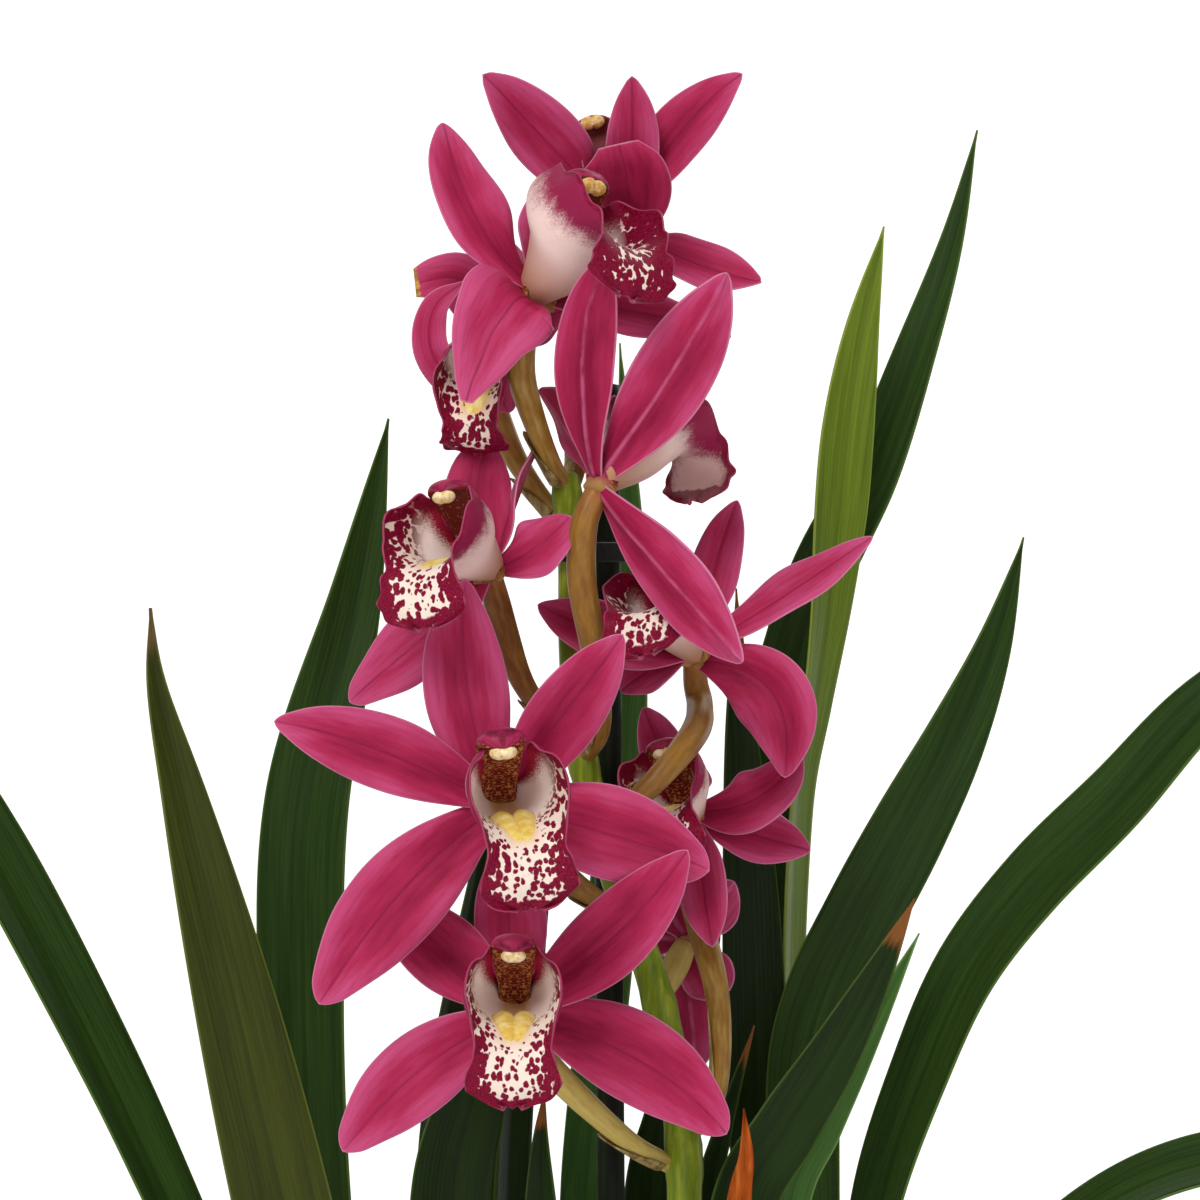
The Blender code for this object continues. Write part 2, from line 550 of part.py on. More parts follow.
def tepal_body(flower, tip, width, bow, sway, look):
    count = 7
    forward = flower_frame(flower)[0]
    hub, end = Vector(flower["hub"]), Vector(flower["hub"]) + Vector(tip)
    direction = (end - hub).normalized()
    face = square_to(forward, direction)
    start = hub + direction * 3.2
    bend = (start + end) / 2 + (face * bow + face.cross(direction) * sway) * 2
    points = []
    for k in range(count):
        s = k / (count - 1)
        points.append(start * (1 - s)**2 + bend * 2 * s * (1 - s) + end * s**2)
    look = Vector(look or face).normalized()
    normals = []
    for k, line in enumerate(tangents(points)):
        turned = smooth_step(k / (count - 1) / 0.4)
        normals.append(square_to(face.lerp(look, turned), line))
    widths = [width * tepal_width(k / (count - 1)) for k in range(count)]
    return blade(points, tangents(points), normals, widths, 0.12, TEPAL_THICKNESS)


def make_perianth(name, flower, look):
    """Three sepals, two petals and the column, grown together at the hub."""
    forward, up, right = flower_frame(flower)
    hub = Vector(flower["hub"])
    build = bmesh.new()
    turn = Matrix.Rotation(0.37, 4, Vector((1, 2, 3)))
    bmesh.ops.create_icosphere(build, subdivisions=1, radius=HUB_RADIUS, matrix=Matrix.Translation(hub) @ turn)
    perianth = link_mesh(name + "_petals", build, look, hub)
    column = [hub + (forward * a + up * b) * flower["size"] for a, b in COLUMN_LINE]
    radii = [r * flower["size"] for r in COLUMN_RADII]
    parts = [tube(column, radii, 5, 8, 0.62, right)]
    parts += [tepal_body(flower, *flower[tepal]) for tepal in TEPALS]
    for k, part in enumerate(parts):
        boolean(perianth, make_helper(link_mesh(f"{name}_part_{k}", part, look, hub)), "UNION")
    return perianth


def lip_point(u, v, curl):
    """Forward, up and right of the lip's middle surface: u runs from its root to its end, v from side to side."""
    step = 0.01
    bent = [Vector((*a, 0)).lerp(Vector((*b, 0)), curl) for a, b in zip(LIP_LINE, LIP_CURLED)]
    here = along(bent, u)
    ahead = along(bent, min(u + step, 1))
    behind = along(bent, max(u - step, 0))
    line = (ahead - behind).normalized()
    rise = Vector((-line.y, line.x, 0))
    half, depth, reach = along(LIP_TROUGH, u)
    angle = math.radians(reach) * v
    point = here + rise * depth * (1 - math.cos(angle))
    return point.x, point.y, half * math.sin(angle)


def make_lip(name, flower, look):
    forward, up, right = flower_frame(flower)
    hub, size = Vector(flower["hub"]), flower["size"]
    rows, columns = 7, 6
    build = bmesh.new()
    grid = []
    for i in range(rows + 1):
        row = []
        for j in range(columns + 1):
            a, b, c = lip_point(i / rows, 2 * j / columns - 1, flower["lip_curl"])
            row.append(build.verts.new(hub + (forward * a + up * b + right * c) * size))
        grid.append(row)
    for i in range(rows):
        for j in range(columns):
            build.faces.new((grid[i][j], grid[i][j + 1], grid[i + 1][j + 1], grid[i + 1][j]))
    lip = link_mesh(name + "_lip", build, look, hub)
    thick = lip.modifiers.new("thickness", "SOLIDIFY")
    thick.thickness = LIP_THICKNESS * MM
    thick.offset = 0
    return lip


def make_stalk(name, flower, look, scape_room):
    hub = Vector(flower["hub"])
    towards = (Vector(flower["stalk"][-1]) - hub).normalized()
    route = list(flower["stalk"]) + [hub + towards * (HUB_RADIUS + 2 * GAP)]
    stalk = link_mesh(name + "_stalk", tube(route, STALK_RADII, 8, 8), look, route[0])
    boolean(stalk, scape_room, "DIFFERENCE")
    return stalk


def main():
    clear_scene()
    add_root()
    glaze = material("glaze", (0.78, 0.76, 0.72), 0.45)
    bark = material("bark", (0.11, 0.055, 0.03), 0.95)
    bulb = material("bulb", (0.16, 0.23, 0.05), 0.5)
    leaf = material("leaf", (0.03, 0.09, 0.015), 0.4)
    dry = material("dry_leaf", (0.42, 0.12, 0.03), 0.8)
    stem = material("stem", (0.20, 0.28, 0.05), 0.45)
    stalk = material("stalk", (0.33, 0.26, 0.09), 0.4)
    petal = material("petal", (0.42, 0.03, 0.12), 0.55)
    lip = material("lip", (0.62, 0.26, 0.32), 0.5)
    cane = material("cane", (0.012, 0.016, 0.008), 0.5)
    clip = material("clip", (0.01, 0.01, 0.01), 0.4)

    bulb_rooms = make_bulbs(bulb)
    scape_room = make_helper(link_mesh("scape_room", scape_body(GAP), stem, SCAPE_ROUTE[0]))
    stake_room = make_helper(link_mesh("stake_room", stake_body(GAP), cane, STAKE_FOOT))
    make_pot(glaze)
    make_bark(bark, bulb_rooms + [stake_room, scape_room])
    link_mesh("flower_stem", scape_body(), stem, SCAPE_ROUTE[0])
    link_mesh("stake", stake_body(), cane, STAKE_FOOT)
    for name, height in CLIP_HEIGHTS.items():
        make_clip(name, height, clip)
    for name, shape in LEAVES.items():
        make_leaf(name, shape, dry if name == "dry_sheath" else leaf)
    for name, flower in FLOWERS.items():
        make_perianth(name, flower, petal)
        make_lip(name, flower, lip)
        make_stalk(name, flower, stalk, scape_room)


main()
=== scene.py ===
# A staked pink cymbidium in a pot: each flower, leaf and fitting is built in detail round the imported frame.
# Lengths are millimetres in the plant's own frame (x right, y away from the front, z up) until makePiece
# turns them into metres.
import math
import random
from functools import partial

import bpy
import numpy as np
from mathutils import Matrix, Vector


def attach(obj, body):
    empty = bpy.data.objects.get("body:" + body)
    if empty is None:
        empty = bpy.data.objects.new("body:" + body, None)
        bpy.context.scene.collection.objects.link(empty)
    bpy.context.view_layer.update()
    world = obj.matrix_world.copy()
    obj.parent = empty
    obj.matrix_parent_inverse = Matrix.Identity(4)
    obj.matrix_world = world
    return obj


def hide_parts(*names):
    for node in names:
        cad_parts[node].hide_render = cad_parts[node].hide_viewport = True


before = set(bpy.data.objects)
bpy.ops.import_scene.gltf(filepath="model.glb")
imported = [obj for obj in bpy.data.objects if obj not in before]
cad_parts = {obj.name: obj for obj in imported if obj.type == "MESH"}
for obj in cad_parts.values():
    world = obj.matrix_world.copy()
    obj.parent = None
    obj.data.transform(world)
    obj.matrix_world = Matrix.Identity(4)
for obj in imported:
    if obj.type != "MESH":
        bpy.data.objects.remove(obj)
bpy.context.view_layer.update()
print("frame loaded:", len(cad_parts), "nodes")

mm = 0.001


# Small tools for curves and surfaces

def unit(vector):
    return np.asarray(vector, float) / max(np.linalg.norm(vector), 1e-9)


def squareTo(vector, axis):
    return unit(vector - axis * np.dot(vector, axis))


def smoothStep(x):
    x = np.clip(x, 0, 1)
    return x * x * (3 - 2 * x)


def hump(x, middle, width):  # 1 at the middle, falling smoothly to 0 on both sides
    return np.exp(-((np.asarray(x, float) - middle) / width) ** 2)


def fullTurn(count):  # angles that divide a full turn evenly
    return np.linspace(0, 2 * np.pi, count, endpoint=False)


def runLengths(points):  # how far along the line each point is
    return np.concatenate([[0], np.cumsum(np.linalg.norm(np.diff(points, axis=0), axis=1))])


def along(values, shares):  # a Catmull-Rom curve through evenly spaced values
    table = np.asarray(values, float)
    flat = table.ndim == 1
    if flat:
        table = table[:, None]
    spans = len(table) - 1
    held = np.vstack([2 * table[0] - table[1], table, 2 * table[-1] - table[-2]])
    at = np.atleast_1d(np.asarray(shares, float)) * spans
    i = np.minimum(at.astype(int), spans - 1)
    t = (at - i)[:, None]
    a, b, c, d = (held[i + k] for k in range(4))
    found = (2 * b + (c - a) * t + (2 * a - 5 * b + 4 * c - d) * t**2 + (3 * b - a - 3 * c + d) * t**3) / 2
    return found[:, 0] if flat else found


def evenPoints(route, count):  # points at equal distances along a smooth curve through the route
    fine = along(route, np.linspace(0, 1, 241))
    run = runLengths(fine)
    wanted = np.linspace(0, run[-1], count)
    return np.stack([np.interp(wanted, run, fine[:, k]) for k in range(3)], 1)


def tangents(points):
    lines = np.gradient(points, axis=0)
    return lines / np.linalg.norm(lines, axis=1)[:, None]


def gridFaces(rows, cols, start=0, wrap=False, flip=False):
    faces = []
    for i in range(rows - 1):
        for j in range(cols if wrap else cols - 1):
            n = (j + 1) % cols
            near, far = start + i * cols, start + (i + 1) * cols
            quad = [near + j, far + j, far + n, near + n]
            faces.append(quad[::-1] if flip else quad)
    return faces


def shell(grid, thickness):
    # A thin closed sheet: the grid is its upper face and its back lies a thickness behind. Returns points,
    # faces and what the materials read: place (share along, share across, 1 on the back) and span (mm along,
    # mm across from the middle, mm to the edge).
    rows, cols = grid.shape[:2]
    count = rows * cols
    normal = np.cross(np.gradient(grid, axis=0), np.gradient(grid, axis=1))
    normal /= np.maximum(np.linalg.norm(normal, axis=2), 1e-9)[..., None]
    back = grid - normal * np.broadcast_to(thickness, (rows, cols))[..., None]
    faces = gridFaces(rows, cols) + gridFaces(rows, cols, count, flip=True)
    loop = [i * cols for i in range(rows - 1)] + [(rows - 1) * cols + j for j in range(cols - 1)]
    loop += [i * cols + cols - 1 for i in range(rows - 1, 0, -1)] + list(range(cols - 1, 0, -1))
    for a, b in zip(loop, loop[1:] + loop[:1]):
        faces.append([b, a, a + count, b + count])
    crossRun = np.array([runLengths(row) for row in grid])
    middle = cols // 2
    alongRun = runLengths(grid[:, middle])[:, None]
    toEdge = np.minimum(np.minimum(crossRun, crossRun[:, -1:] - crossRun), alongRun[-1] - alongRun)
    u, v = np.meshgrid(np.linspace(0, 1, rows), np.linspace(-1, 1, cols), indexing="ij")
    fields = np.stack([u, v, np.zeros_like(u), np.broadcast_to(alongRun, u.shape),
                       crossRun - crossRun[:, middle:middle + 1], toEdge], -1).reshape(-1, 6)
    fields = np.vstack([fields, fields])
    fields[count:, 2] = 1
    points = np.vstack([grid.reshape(-1, 3), back.reshape(-1, 3)])
    return points, faces, dict(place=fields[:, :3], span=fields[:, 3:])


def tubeGrid(route, radii, rings, sides, flatten=1.0, across=(1, 0.01, 0), ribs=0, ribDepth=0.0):
    points = evenPoints(route, rings)
    lines = tangents(points)
    radius = along(radii, np.linspace(0, 1, rings))
    side = squareTo(np.asarray(across, float), lines[0])
    turn = fullTurn(sides)
    swell = 1 + ribDepth * np.cos(turn * ribs)
    made = []
    for k in range(rings):
        side = squareTo(side, lines[k])
        other = np.cross(lines[k], side)
        ring = np.outer(np.cos(turn) * swell, side) + np.outer(np.sin(turn) * swell, other) * flatten
        made.append(points[k] + ring * radius[k])
    return np.array(made)


def closedTube(grid, dome=0.35):
    # A body through closed rings; its ends are domed by dome times their radius.
    rings, sides = grid.shape[:2]
    faces = gridFaces(rings, sides, wrap=True, flip=True)
    centres = grid.mean(axis=1)
    ends = []
    for k, nextTo in ((0, 1), (rings - 1, rings - 2)):
        outward = unit(centres[k] - centres[nextTo])
        reach = np.linalg.norm(grid[k] - centres[k], axis=1).mean() * dome
        small = centres[k] + (grid[k] - centres[k]) * 0.6 + outward * reach * 0.75
        ends += [small, [centres[k] + outward * reach]]
    start = rings * sides
    last = (rings - 1) * sides
    far = start + sides + 1
    for j in range(sides):
        n = (j + 1) % sides
        faces += [[n, j, start + j, start + n], [start + n, start + j, start + sides]]
        faces += [[last + j, last + n, far + n, far + j], [far + j, far + n, far + sides]]
    points = np.vstack([grid.reshape(-1, 3)] + [np.asarray(e).reshape(-1, 3) for e in ends])
    run = runLengths(centres)
    around = np.abs(np.arange(sides) / sides * 2 - 1)  # 1 at the first point of a ring, 0 half way round
    u = np.concatenate([np.repeat(np.linspace(0, 1, rings), sides), np.repeat([0, 1], sides + 1)])
    runs = np.concatenate([np.repeat(run, sides), np.repeat(run[[0, -1]], sides + 1)])
    turn = np.concatenate([np.tile(around, rings), np.tile(np.append(around, 0.5), 2)])
    zero = np.zeros_like(u)
    return points, faces, dict(place=np.stack([u, turn, zero], 1), span=np.stack([runs, zero, zero], 1))


def joined(parts):  # several bodies as one mesh
    points, faces, place, span, start = [], [], [], [], 0
    for partPoints, partFaces, values in parts:
        points.append(partPoints)
        faces += [[start + k for k in face] for face in partFaces]
        place.append(values["place"])
        span.append(values["span"])
        start += len(partPoints)
    return np.vstack(points), faces, dict(place=np.vstack(place), span=np.vstack(span))


def plain(points):  # the values for a body whose look doesn't follow its shape
    zeros = np.zeros((len(points), 3))
    return dict(place=zeros, span=zeros)


def fanEnds(rings, sides):  # closes a body of rings on two points that come after them
    last, tip = (rings - 1) * sides, rings * sides
    turns = [(j, (j + 1) % sides) for j in range(sides)]
    return [face for j, n in turns for face in ([n, j, tip], [last + j, last + n, tip + 1])]


def swollen(grid, swell):  # a tube with each ring grown about its centre
    centres = grid.mean(axis=1)[:, None]
    return centres + (grid - centres) * swell[:, None, None]


def makePiece(name, body, look, stands, tone=0.5, smooth=True):
    points, faces, values = body
    mesh = bpy.data.meshes.new(name)
    mesh.from_pydata((points * mm).tolist(), [], faces)
    for key in ("place", "span"):
        layer = mesh.attributes.new(key, "FLOAT_VECTOR", "POINT")
        layer.data.foreach_set("vector", np.asarray(values[key], np.float32).ravel())
    layer = mesh.attributes.new("tone", "FLOAT", "POINT")
    layer.data.foreach_set("value", np.full(len(points), tone, np.float32))
    mesh.polygons.foreach_set("use_smooth", [smooth] * len(mesh.polygons))
    mesh.materials.append(look)
    piece = bpy.data.objects.new(name, mesh)
    bpy.context.scene.collection.objects.link(piece)
    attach(piece, "root")
    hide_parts(*stands)


# Materials

def colour(code):  # an sRGB hex value as linear light
    parts = [int(code[k:k + 2], 16) / 255 for k in (1, 3, 5)]
    return [p / 12.92 if p <= 0.04045 else ((p + 0.055) / 1.055) ** 2.4 for p in parts] + [1]


usual = {"Mix": dict(data_type="RGBA")}  # settings that every node of a kind gets
smoothly = dict(interpolation_type="SMOOTHSTEP")


def addNode(tree, kind, *inputs, out=None, stops=(), **named):
    # Adds a node. Its inputs are outputs to link, numbers or colours, in the order that the node shows them
    # or by name with a capital, and its settings come by name in small letters. Returns the output that is
    # named, or its first.
    node = tree.nodes.new("ShaderNode" + kind)
    for key, value in (usual.get(kind, {}) | named).items():
        if key[0].islower():
            setattr(node, key, value)
    pairs = list(zip([socket for socket in node.inputs if socket.enabled], inputs))
    pairs += [(node.inputs[key], value) for key, value in named.items() if key[0].isupper()]
    for socket, value in pairs:
        if isinstance(value, bpy.types.NodeSocket):
            tree.links.new(value, socket)
        else:
            socket.default_value = colour(value) if isinstance(value, str) else value
    for _ in stops[2:]:
        node.color_ramp.elements.new(0.5)
    for k, (at, code) in enumerate(stops):
        node.color_ramp.elements[k].position = at
        node.color_ramp.elements[k].color = colour(code)
    return node.outputs[out] if out else next(socket for socket in node.outputs if socket.enabled)


def newMaterial(name, **fixed):  # fixed: numbers set on the shader's own sockets, with _ for a space
    made = bpy.data.materials.new(name)
    made.use_nodes = True
    shader = made.node_tree.nodes["Principled BSDF"]
    for key, value in fixed.items():
        shader.inputs[key.replace("_", " ")].default_value = value
    return made, partial(addNode, made.node_tree)


def dressed(made, **links):  # the material, with outputs linked to its shader, with _ for a space
    shader = made.node_tree.nodes["Principled BSDF"]
    for key, value in links.items():
        made.node_tree.links.new(value, shader.inputs[key.replace("_", " ")])
    return made


livingTissue = dict(IOR=1.42, Subsurface_Weight=0.08, Subsurface_Scale=0.0012)  # lets a little light through


def surfaceValues(add, names):  # outputs for u, v, back, alongMm, acrossMm, edge (mm to the edge) and tone
    found = dict(tone=add("Attribute", attribute_name="tone", out="Fac"))
    for layer, parts in (("place", ("u", "v", "back")), ("span", ("alongMm", "acrossMm", "edge"))):
        vector = add("Attribute", attribute_name=layer, out="Vector")
        found |= zip(parts, add("SeparateXYZ", vector).node.outputs)
    return [found[name] for name in names.split()]


def tepalFlesh(name, withered=None):
    # Waxy orchid tepal, living tissue: satin magenta, deeper at the heart, with hair-fine veins and a thin
    # pale rim. The deeper heart is partly the tepal's own colour and partly painted shade where the tepals
    # crowd round the hub. A withered one goes straw-brown beyond that share of its length.
    looks = dict(light="#BF4A77", flesh="#AA2750", deep="#820F33", vein="#741036", rim="#D592AE",
                 streak="#C9678F", husk="#5A3414", straw="#C79A48")
    veinPairs = 9.0  # fewer than a real tepal's, so that they show
    made, add = newMaterial(name, Roughness=0.52, Specular_IOR_Level=0.12, Subsurface_Radius=(1.0, 0.35, 0.3),
                            **livingTissue)
    u, v, back, alongMm, acrossMm, edge, tone = surfaceValues(add, "u v back alongMm acrossMm edge tone")
    stretched = add("CombineXYZ", alongMm, add("Math", acrossMm, 5.0, operation="MULTIPLY"),
                    add("Math", tone, 40.0, operation="MULTIPLY"))
    streaks = add("TexNoise", stretched, Scale=0.14, Detail=3.0, Roughness=0.6)
    patches = add("TexNoise", stretched, Scale=0.035, Detail=2.0)
    wave = add("Math", v, veinPairs * math.pi, add("Math", streaks, 2.2, operation="MULTIPLY"),
               operation="MULTIPLY_ADD")
    veins = add("Math", add("Math", wave, operation="SINE"), 0.5, 0.5, operation="MULTIPLY_ADD")
    veins = add("Math", veins, 9.0, operation="POWER")
    margin = add("MapRange", edge, 0.3, 6.5, 0.22, -0.1)
    # Deeper towards the hub: partly the tepal's own colour, partly painted shade where the parts crowd.
    deepHeartAndShade = add("MapRange", u, 0.0, 0.42, -0.26, 0.0, **smoothly)
    level = add("Math", add("Math", patches, 0.55, margin, operation="MULTIPLY_ADD"), deepHeartAndShade)
    level = add("Math", add("Math", streaks, 0.25, level, operation="MULTIPLY_ADD"),
                add("Math", tone, 0.4, -0.15, operation="MULTIPLY_ADD"))
    ground = add("ValToRGB", level, stops=[(0.14, looks["deep"]), (0.44, looks["flesh"]),
                                           (0.74, looks["light"])])
    veined = add("Mix", add("Math", veins, 0.14, operation="MULTIPLY"), ground, looks["vein"])
    ridge = add("MapRange", add("Math", acrossMm, operation="ABSOLUTE"), 0.1, 0.55, 0.6, 0.0)
    ridge = add("Math", ridge, add("MapRange", streaks, 0.3, 0.6), operation="MULTIPLY")
    midrib = add("Mix", back, looks["vein"], looks["streak"])
    ribbed = add("Mix", ridge, veined, midrib)
    thin = add("MapRange", edge, 0.05, 0.5, 0.62, 0.0, **smoothly)
    rimmed = add("Mix", thin, ribbed, looks["rim"])
    if withered:
        dried = add("ValToRGB", streaks, stops=[(0.35, looks["husk"]), (0.6, looks["straw"])])
        far = add("Math", streaks, 0.12, u, operation="MULTIPLY_ADD")
        dead = add("MapRange", far, withered, withered + 0.02)
        rimmed = add("Mix", dead, rimmed, dried)
    cells = add("TexNoise", stretched, Scale=1.1, Detail=2.0)
    relief = add("Math", veins, -0.7, cells, operation="MULTIPLY_ADD")
    bump = add("Bump", Strength=0.25, Distance=0.0003, Height=relief)
    return dressed(made, Base_Color=rimmed, Normal=bump)


def lipFlesh():
    # Freckled lip, living tissue: cream inside, with crimson freckles that run together into a dark border.
    looks = dict(cream="#F0DCCE", paleInsideWithPaintedLight="#FAE9E5", crimson="#900F35", border="#5E0724", gold="#E4B255",
                 outside="#E6C8C1", amber="#AE7548", roseRim="#8F1F46", paleLine="#B9587A", red="#9C1638")
    freckle = 1.45  # mm between freckles
    made, add = newMaterial("freckledLipFlesh", Roughness=0.5, Specular_IOR_Level=0.12,
                            Subsurface_Radius=(1.0, 0.5, 0.4), **livingTissue)
    u, v, back, alongMm, acrossMm, edge, tone = surfaceValues(add, "u v back alongMm acrossMm edge tone")
    away = add("Math", v, operation="ABSOLUTE")
    flat = add("CombineXYZ", add("Math", alongMm, 0.8, operation="MULTIPLY"), acrossMm,
               add("Math", tone, 90.0, operation="MULTIPLY"))
    bend = add("TexNoise", flat, Scale=0.6, Detail=2.0, out="Color")
    warped = add("VectorMath", flat, bend, operation="ADD")
    cells = add("TexVoronoi", warped, Scale=1 / freckle, Randomness=1.0, out="Distance")
    blots = add("TexNoise", flat, Scale=0.4, Detail=2.0)
    fine = add("TexNoise", flat, Scale=2.2, Detail=3.0)
    cloud = add("Math", blots, 0.5, operation="SUBTRACT")
    rich = add("Math", tone, 0.8, -0.4, operation="MULTIPLY_ADD")
    # Freckles grow towards the lip's sides, edge and tip, and hardly show on the callus.
    sides = add("MapRange", away, 0.14, 0.75, 0.0, 0.3, **smoothly)
    near = add("MapRange", edge, 0.8, 4.5, 0.19, 0.0)
    tipward = add("MapRange", u, 0.52, 0.9, 0.31, 0.49)
    reach = add("Math", add("Math", sides, near), add("Math", tipward, rich))
    reach = add("Math", cloud, 0.9, reach, operation="MULTIPLY_ADD")
    middle = add("MapRange", add("Math", acrossMm, operation="ABSOLUTE"), 2.5, 5.0, 1.0, 0.0)
    callus = add("Math", middle, add("MapRange", u, 0.64, 0.5), operation="MULTIPLY")
    reach = add("Math", callus, -0.3, reach, operation="MULTIPLY_ADD")
    spots = add("MapRange", add("Math", reach, cells, operation="SUBTRACT"), -0.04, 0.04)
    spots = add("Math", spots, add("MapRange", u, 0.24, 0.34), operation="MULTIPLY")
    # The raised sides flush red inside, and a wavy border closes round the front.
    feathered = add("Math", add("Math", fine, 0.5, operation="SUBTRACT"), 0.3, away,
                    operation="MULTIPLY_ADD")
    flush = add("MapRange", feathered, 0.7, 0.9, **smoothly)
    flush = add("Math", flush, add("MapRange", u, 0.46, 0.36), operation="MULTIPLY")
    wavy = add("Math", cloud, 3.0, edge, operation="MULTIPLY_ADD")
    wavy = add("Math", wavy, add("MapRange", u, 0.66, 0.95, 0.0, 1.7), operation="SUBTRACT")
    wavy = add("Math", rich, -4.0, wavy, operation="MULTIPLY_ADD")
    border = add("MapRange", wavy, 0.3, 0.9, 1.0, 0.0)
    border = add("Math", border, add("MapRange", u, 0.34, 0.46), operation="MULTIPLY")
    crimson = add("Mix", add("MapRange", fine, 0.35, 0.65), looks["border"], looks["crimson"])
    # The ground near the base, in the trough under the column, is paler than the cream: partly the lip's own
    # pale colour, partly painted light against the column's shade.
    ground = add("ValToRGB", u, stops=[(0.05, looks["paleInsideWithPaintedLight"]), (0.26, looks["paleInsideWithPaintedLight"]),
                                       (0.4, looks["cream"]), (0.9, looks["cream"])])
    ground = add("Mix", add("Math", callus, 0.75, operation="MULTIPLY"), ground, looks["gold"])
    ground = add("Mix", flush, ground, looks["red"])
    inside = add("Mix", add("Math", spots, border, operation="MAXIMUM"), ground, crimson)
    # Outside, an amber foot pales forward, and crimson climbs up from the edges.
    foot = add("Mix", add("MapRange", u, 0.0, 0.26, 0.9, 0.0), looks["outside"], looks["amber"])
    climb = add("Math", away, 0.5, add("MapRange", u, 0.15, 0.48, 0.0, 0.55), operation="MULTIPLY_ADD")
    climb = add("Math", climb, add("MapRange", u, 0.6, 0.75, 0.0, 0.28), operation="SUBTRACT")
    climb = add("Math", add("Math", fine, 0.5, operation="SUBTRACT"), 0.28, climb, operation="MULTIPLY_ADD")
    climb = add("MapRange", add("Math", cloud, 0.25, climb, operation="MULTIPLY_ADD"), 0.47, 0.78, **smoothly)
    outer = add("Mix", climb, foot, looks["roseRim"])
    outer = add("Mix", add("Math", border, 0.8, operation="MULTIPLY"), outer, crimson)
    both = add("Mix", back, inside, outer)
    line = add("MapRange", edge, 0.03, 0.3, 0.5, 0.0)
    both = add("Mix", line, both, looks["paleLine"])
    relief = add("Math", fine, 1.0, spots, operation="MULTIPLY_ADD")
    bump = add("Bump", Strength=0.3, Distance=0.0003, Height=relief)
    return dressed(made, Base_Color=both, Normal=bump)


def columnFlesh():
    # Column flesh, living tissue: crimson on its arched back, and underneath brown-red freckles on tan that
    # close up towards its tip. The darker patches on its back lie in the bump's hollows: painted shade.
    looks = dict(rose="#A22850", dark="#6A1230", cream="#C0824A", freckle="#6C1A1A", pale="#A07A44")
    made, add = newMaterial("freckledColumnFlesh", Roughness=0.42, Specular_IOR_Level=0.18,
                            Subsurface_Radius=(1.0, 0.4, 0.3), **livingTissue)
    u, v, alongMm, tone = surfaceValues(add, "u v alongMm tone")
    flat = add("CombineXYZ", alongMm, add("Math", v, 11.0, operation="MULTIPLY"), tone)
    cells = add("TexVoronoi", flat, Scale=1.7, out="Distance")
    cloud = add("TexNoise", flat, Scale=0.6, Detail=3.0)
    size = add("MapRange", u, 0.2, 0.85, 0.6, 0.68)
    size = add("Math", size, add("Math", tone, 0.5, operation="SUBTRACT"))
    spots = add("MapRange", add("Math", size, cells, operation="SUBTRACT"), -0.06, 0.06)
    under = add("Mix", spots, looks["cream"], looks["freckle"])
    # Darker where the bump is low: painted shade in the hollows of the back.
    top = add("Mix", add("MapRange", cloud, 0.3, 0.6), looks["dark"], looks["rose"])
    upper = add("MapRange", add("Math", v, operation="ABSOLUTE"), 0.42, 0.5, 0.0, 1.0)
    both = add("Mix", upper, top, under)
    both = add("Mix", add("MapRange", u, 0.0, 0.07, 1.0, 0.0), both, looks["pale"])
    bump = add("Bump", Strength=0.25, Distance=0.0003, Height=cloud)
    return dressed(made, Base_Color=both, Normal=bump)


def mottled(name, base, dark, light, scale, bumpStrength, bumpMm=0.3, streak=1.0, **fixed):
    # A skin with soft mottling: base colour, darker hollows and lighter crowns, at a scale per millimetre.
    made, add = newMaterial(name, **fixed)
    tone = add("Attribute", attribute_name="tone", out="Fac")
    here = add("TexCoord", out="Object")
    inMm = add("VectorMath", here, (1000.0, 1000.0, 1000.0 / streak), operation="MULTIPLY")
    cloud = add("TexNoise", inMm, Scale=scale, Detail=4.0, Roughness=0.6)
    fine = add("TexNoise", inMm, Scale=scale * 5, Detail=2.0)
    level = add("Math", add("Math", tone, 0.5, operation="SUBTRACT"), 0.5, cloud, operation="MULTIPLY_ADD")
    ground = add("ValToRGB", level, stops=[(0.33, dark), (0.5, base), (0.68, light)])
    bump = add("Bump", Strength=bumpStrength, Distance=bumpMm * mm, Height=add("Math", cloud, fine))
    return dressed(made, Base_Color=ground, Normal=bump)


def stalkSkin():
    # Flower stalk and ovary skin, living tissue: smooth olive-tan streaks, flushed rose at the flower.
    looks = dict(olive="#966C2C", tan="#C0A95C", rose="#9A5A38", dark="#6E401C")
    made, add = newMaterial("smoothStalkSkin", Roughness=0.38, IOR=1.45, Specular_IOR_Level=0.25,
                            Subsurface_Weight=0.08, Subsurface_Scale=0.001)
    u, v, alongMm, tone = surfaceValues(add, "u v alongMm tone")
    flat = add("CombineXYZ", add("Math", alongMm, 0.15, operation="MULTIPLY"),
               add("Math", v, 6.0, operation="MULTIPLY"), tone)
    streaks = add("TexNoise", flat, Scale=1.3, Detail=3.0)
    level = add("Math", streaks, 0.35, add("Math", tone, 0.7, operation="MULTIPLY"),
                operation="MULTIPLY_ADD")
    skin = add("ValToRGB", level, stops=[(0.3, looks["dark"]), (0.5, looks["olive"]), (0.72, looks["tan"])])
    flush = add("MapRange", u, 0.9, 1.0, 0.0, 0.5)
    skin = add("Mix", flush, skin, looks["rose"])
    bump = add("Bump", Strength=0.15, Distance=0.0003, Height=streaks)
    return dressed(made, Base_Color=skin, Normal=bump)


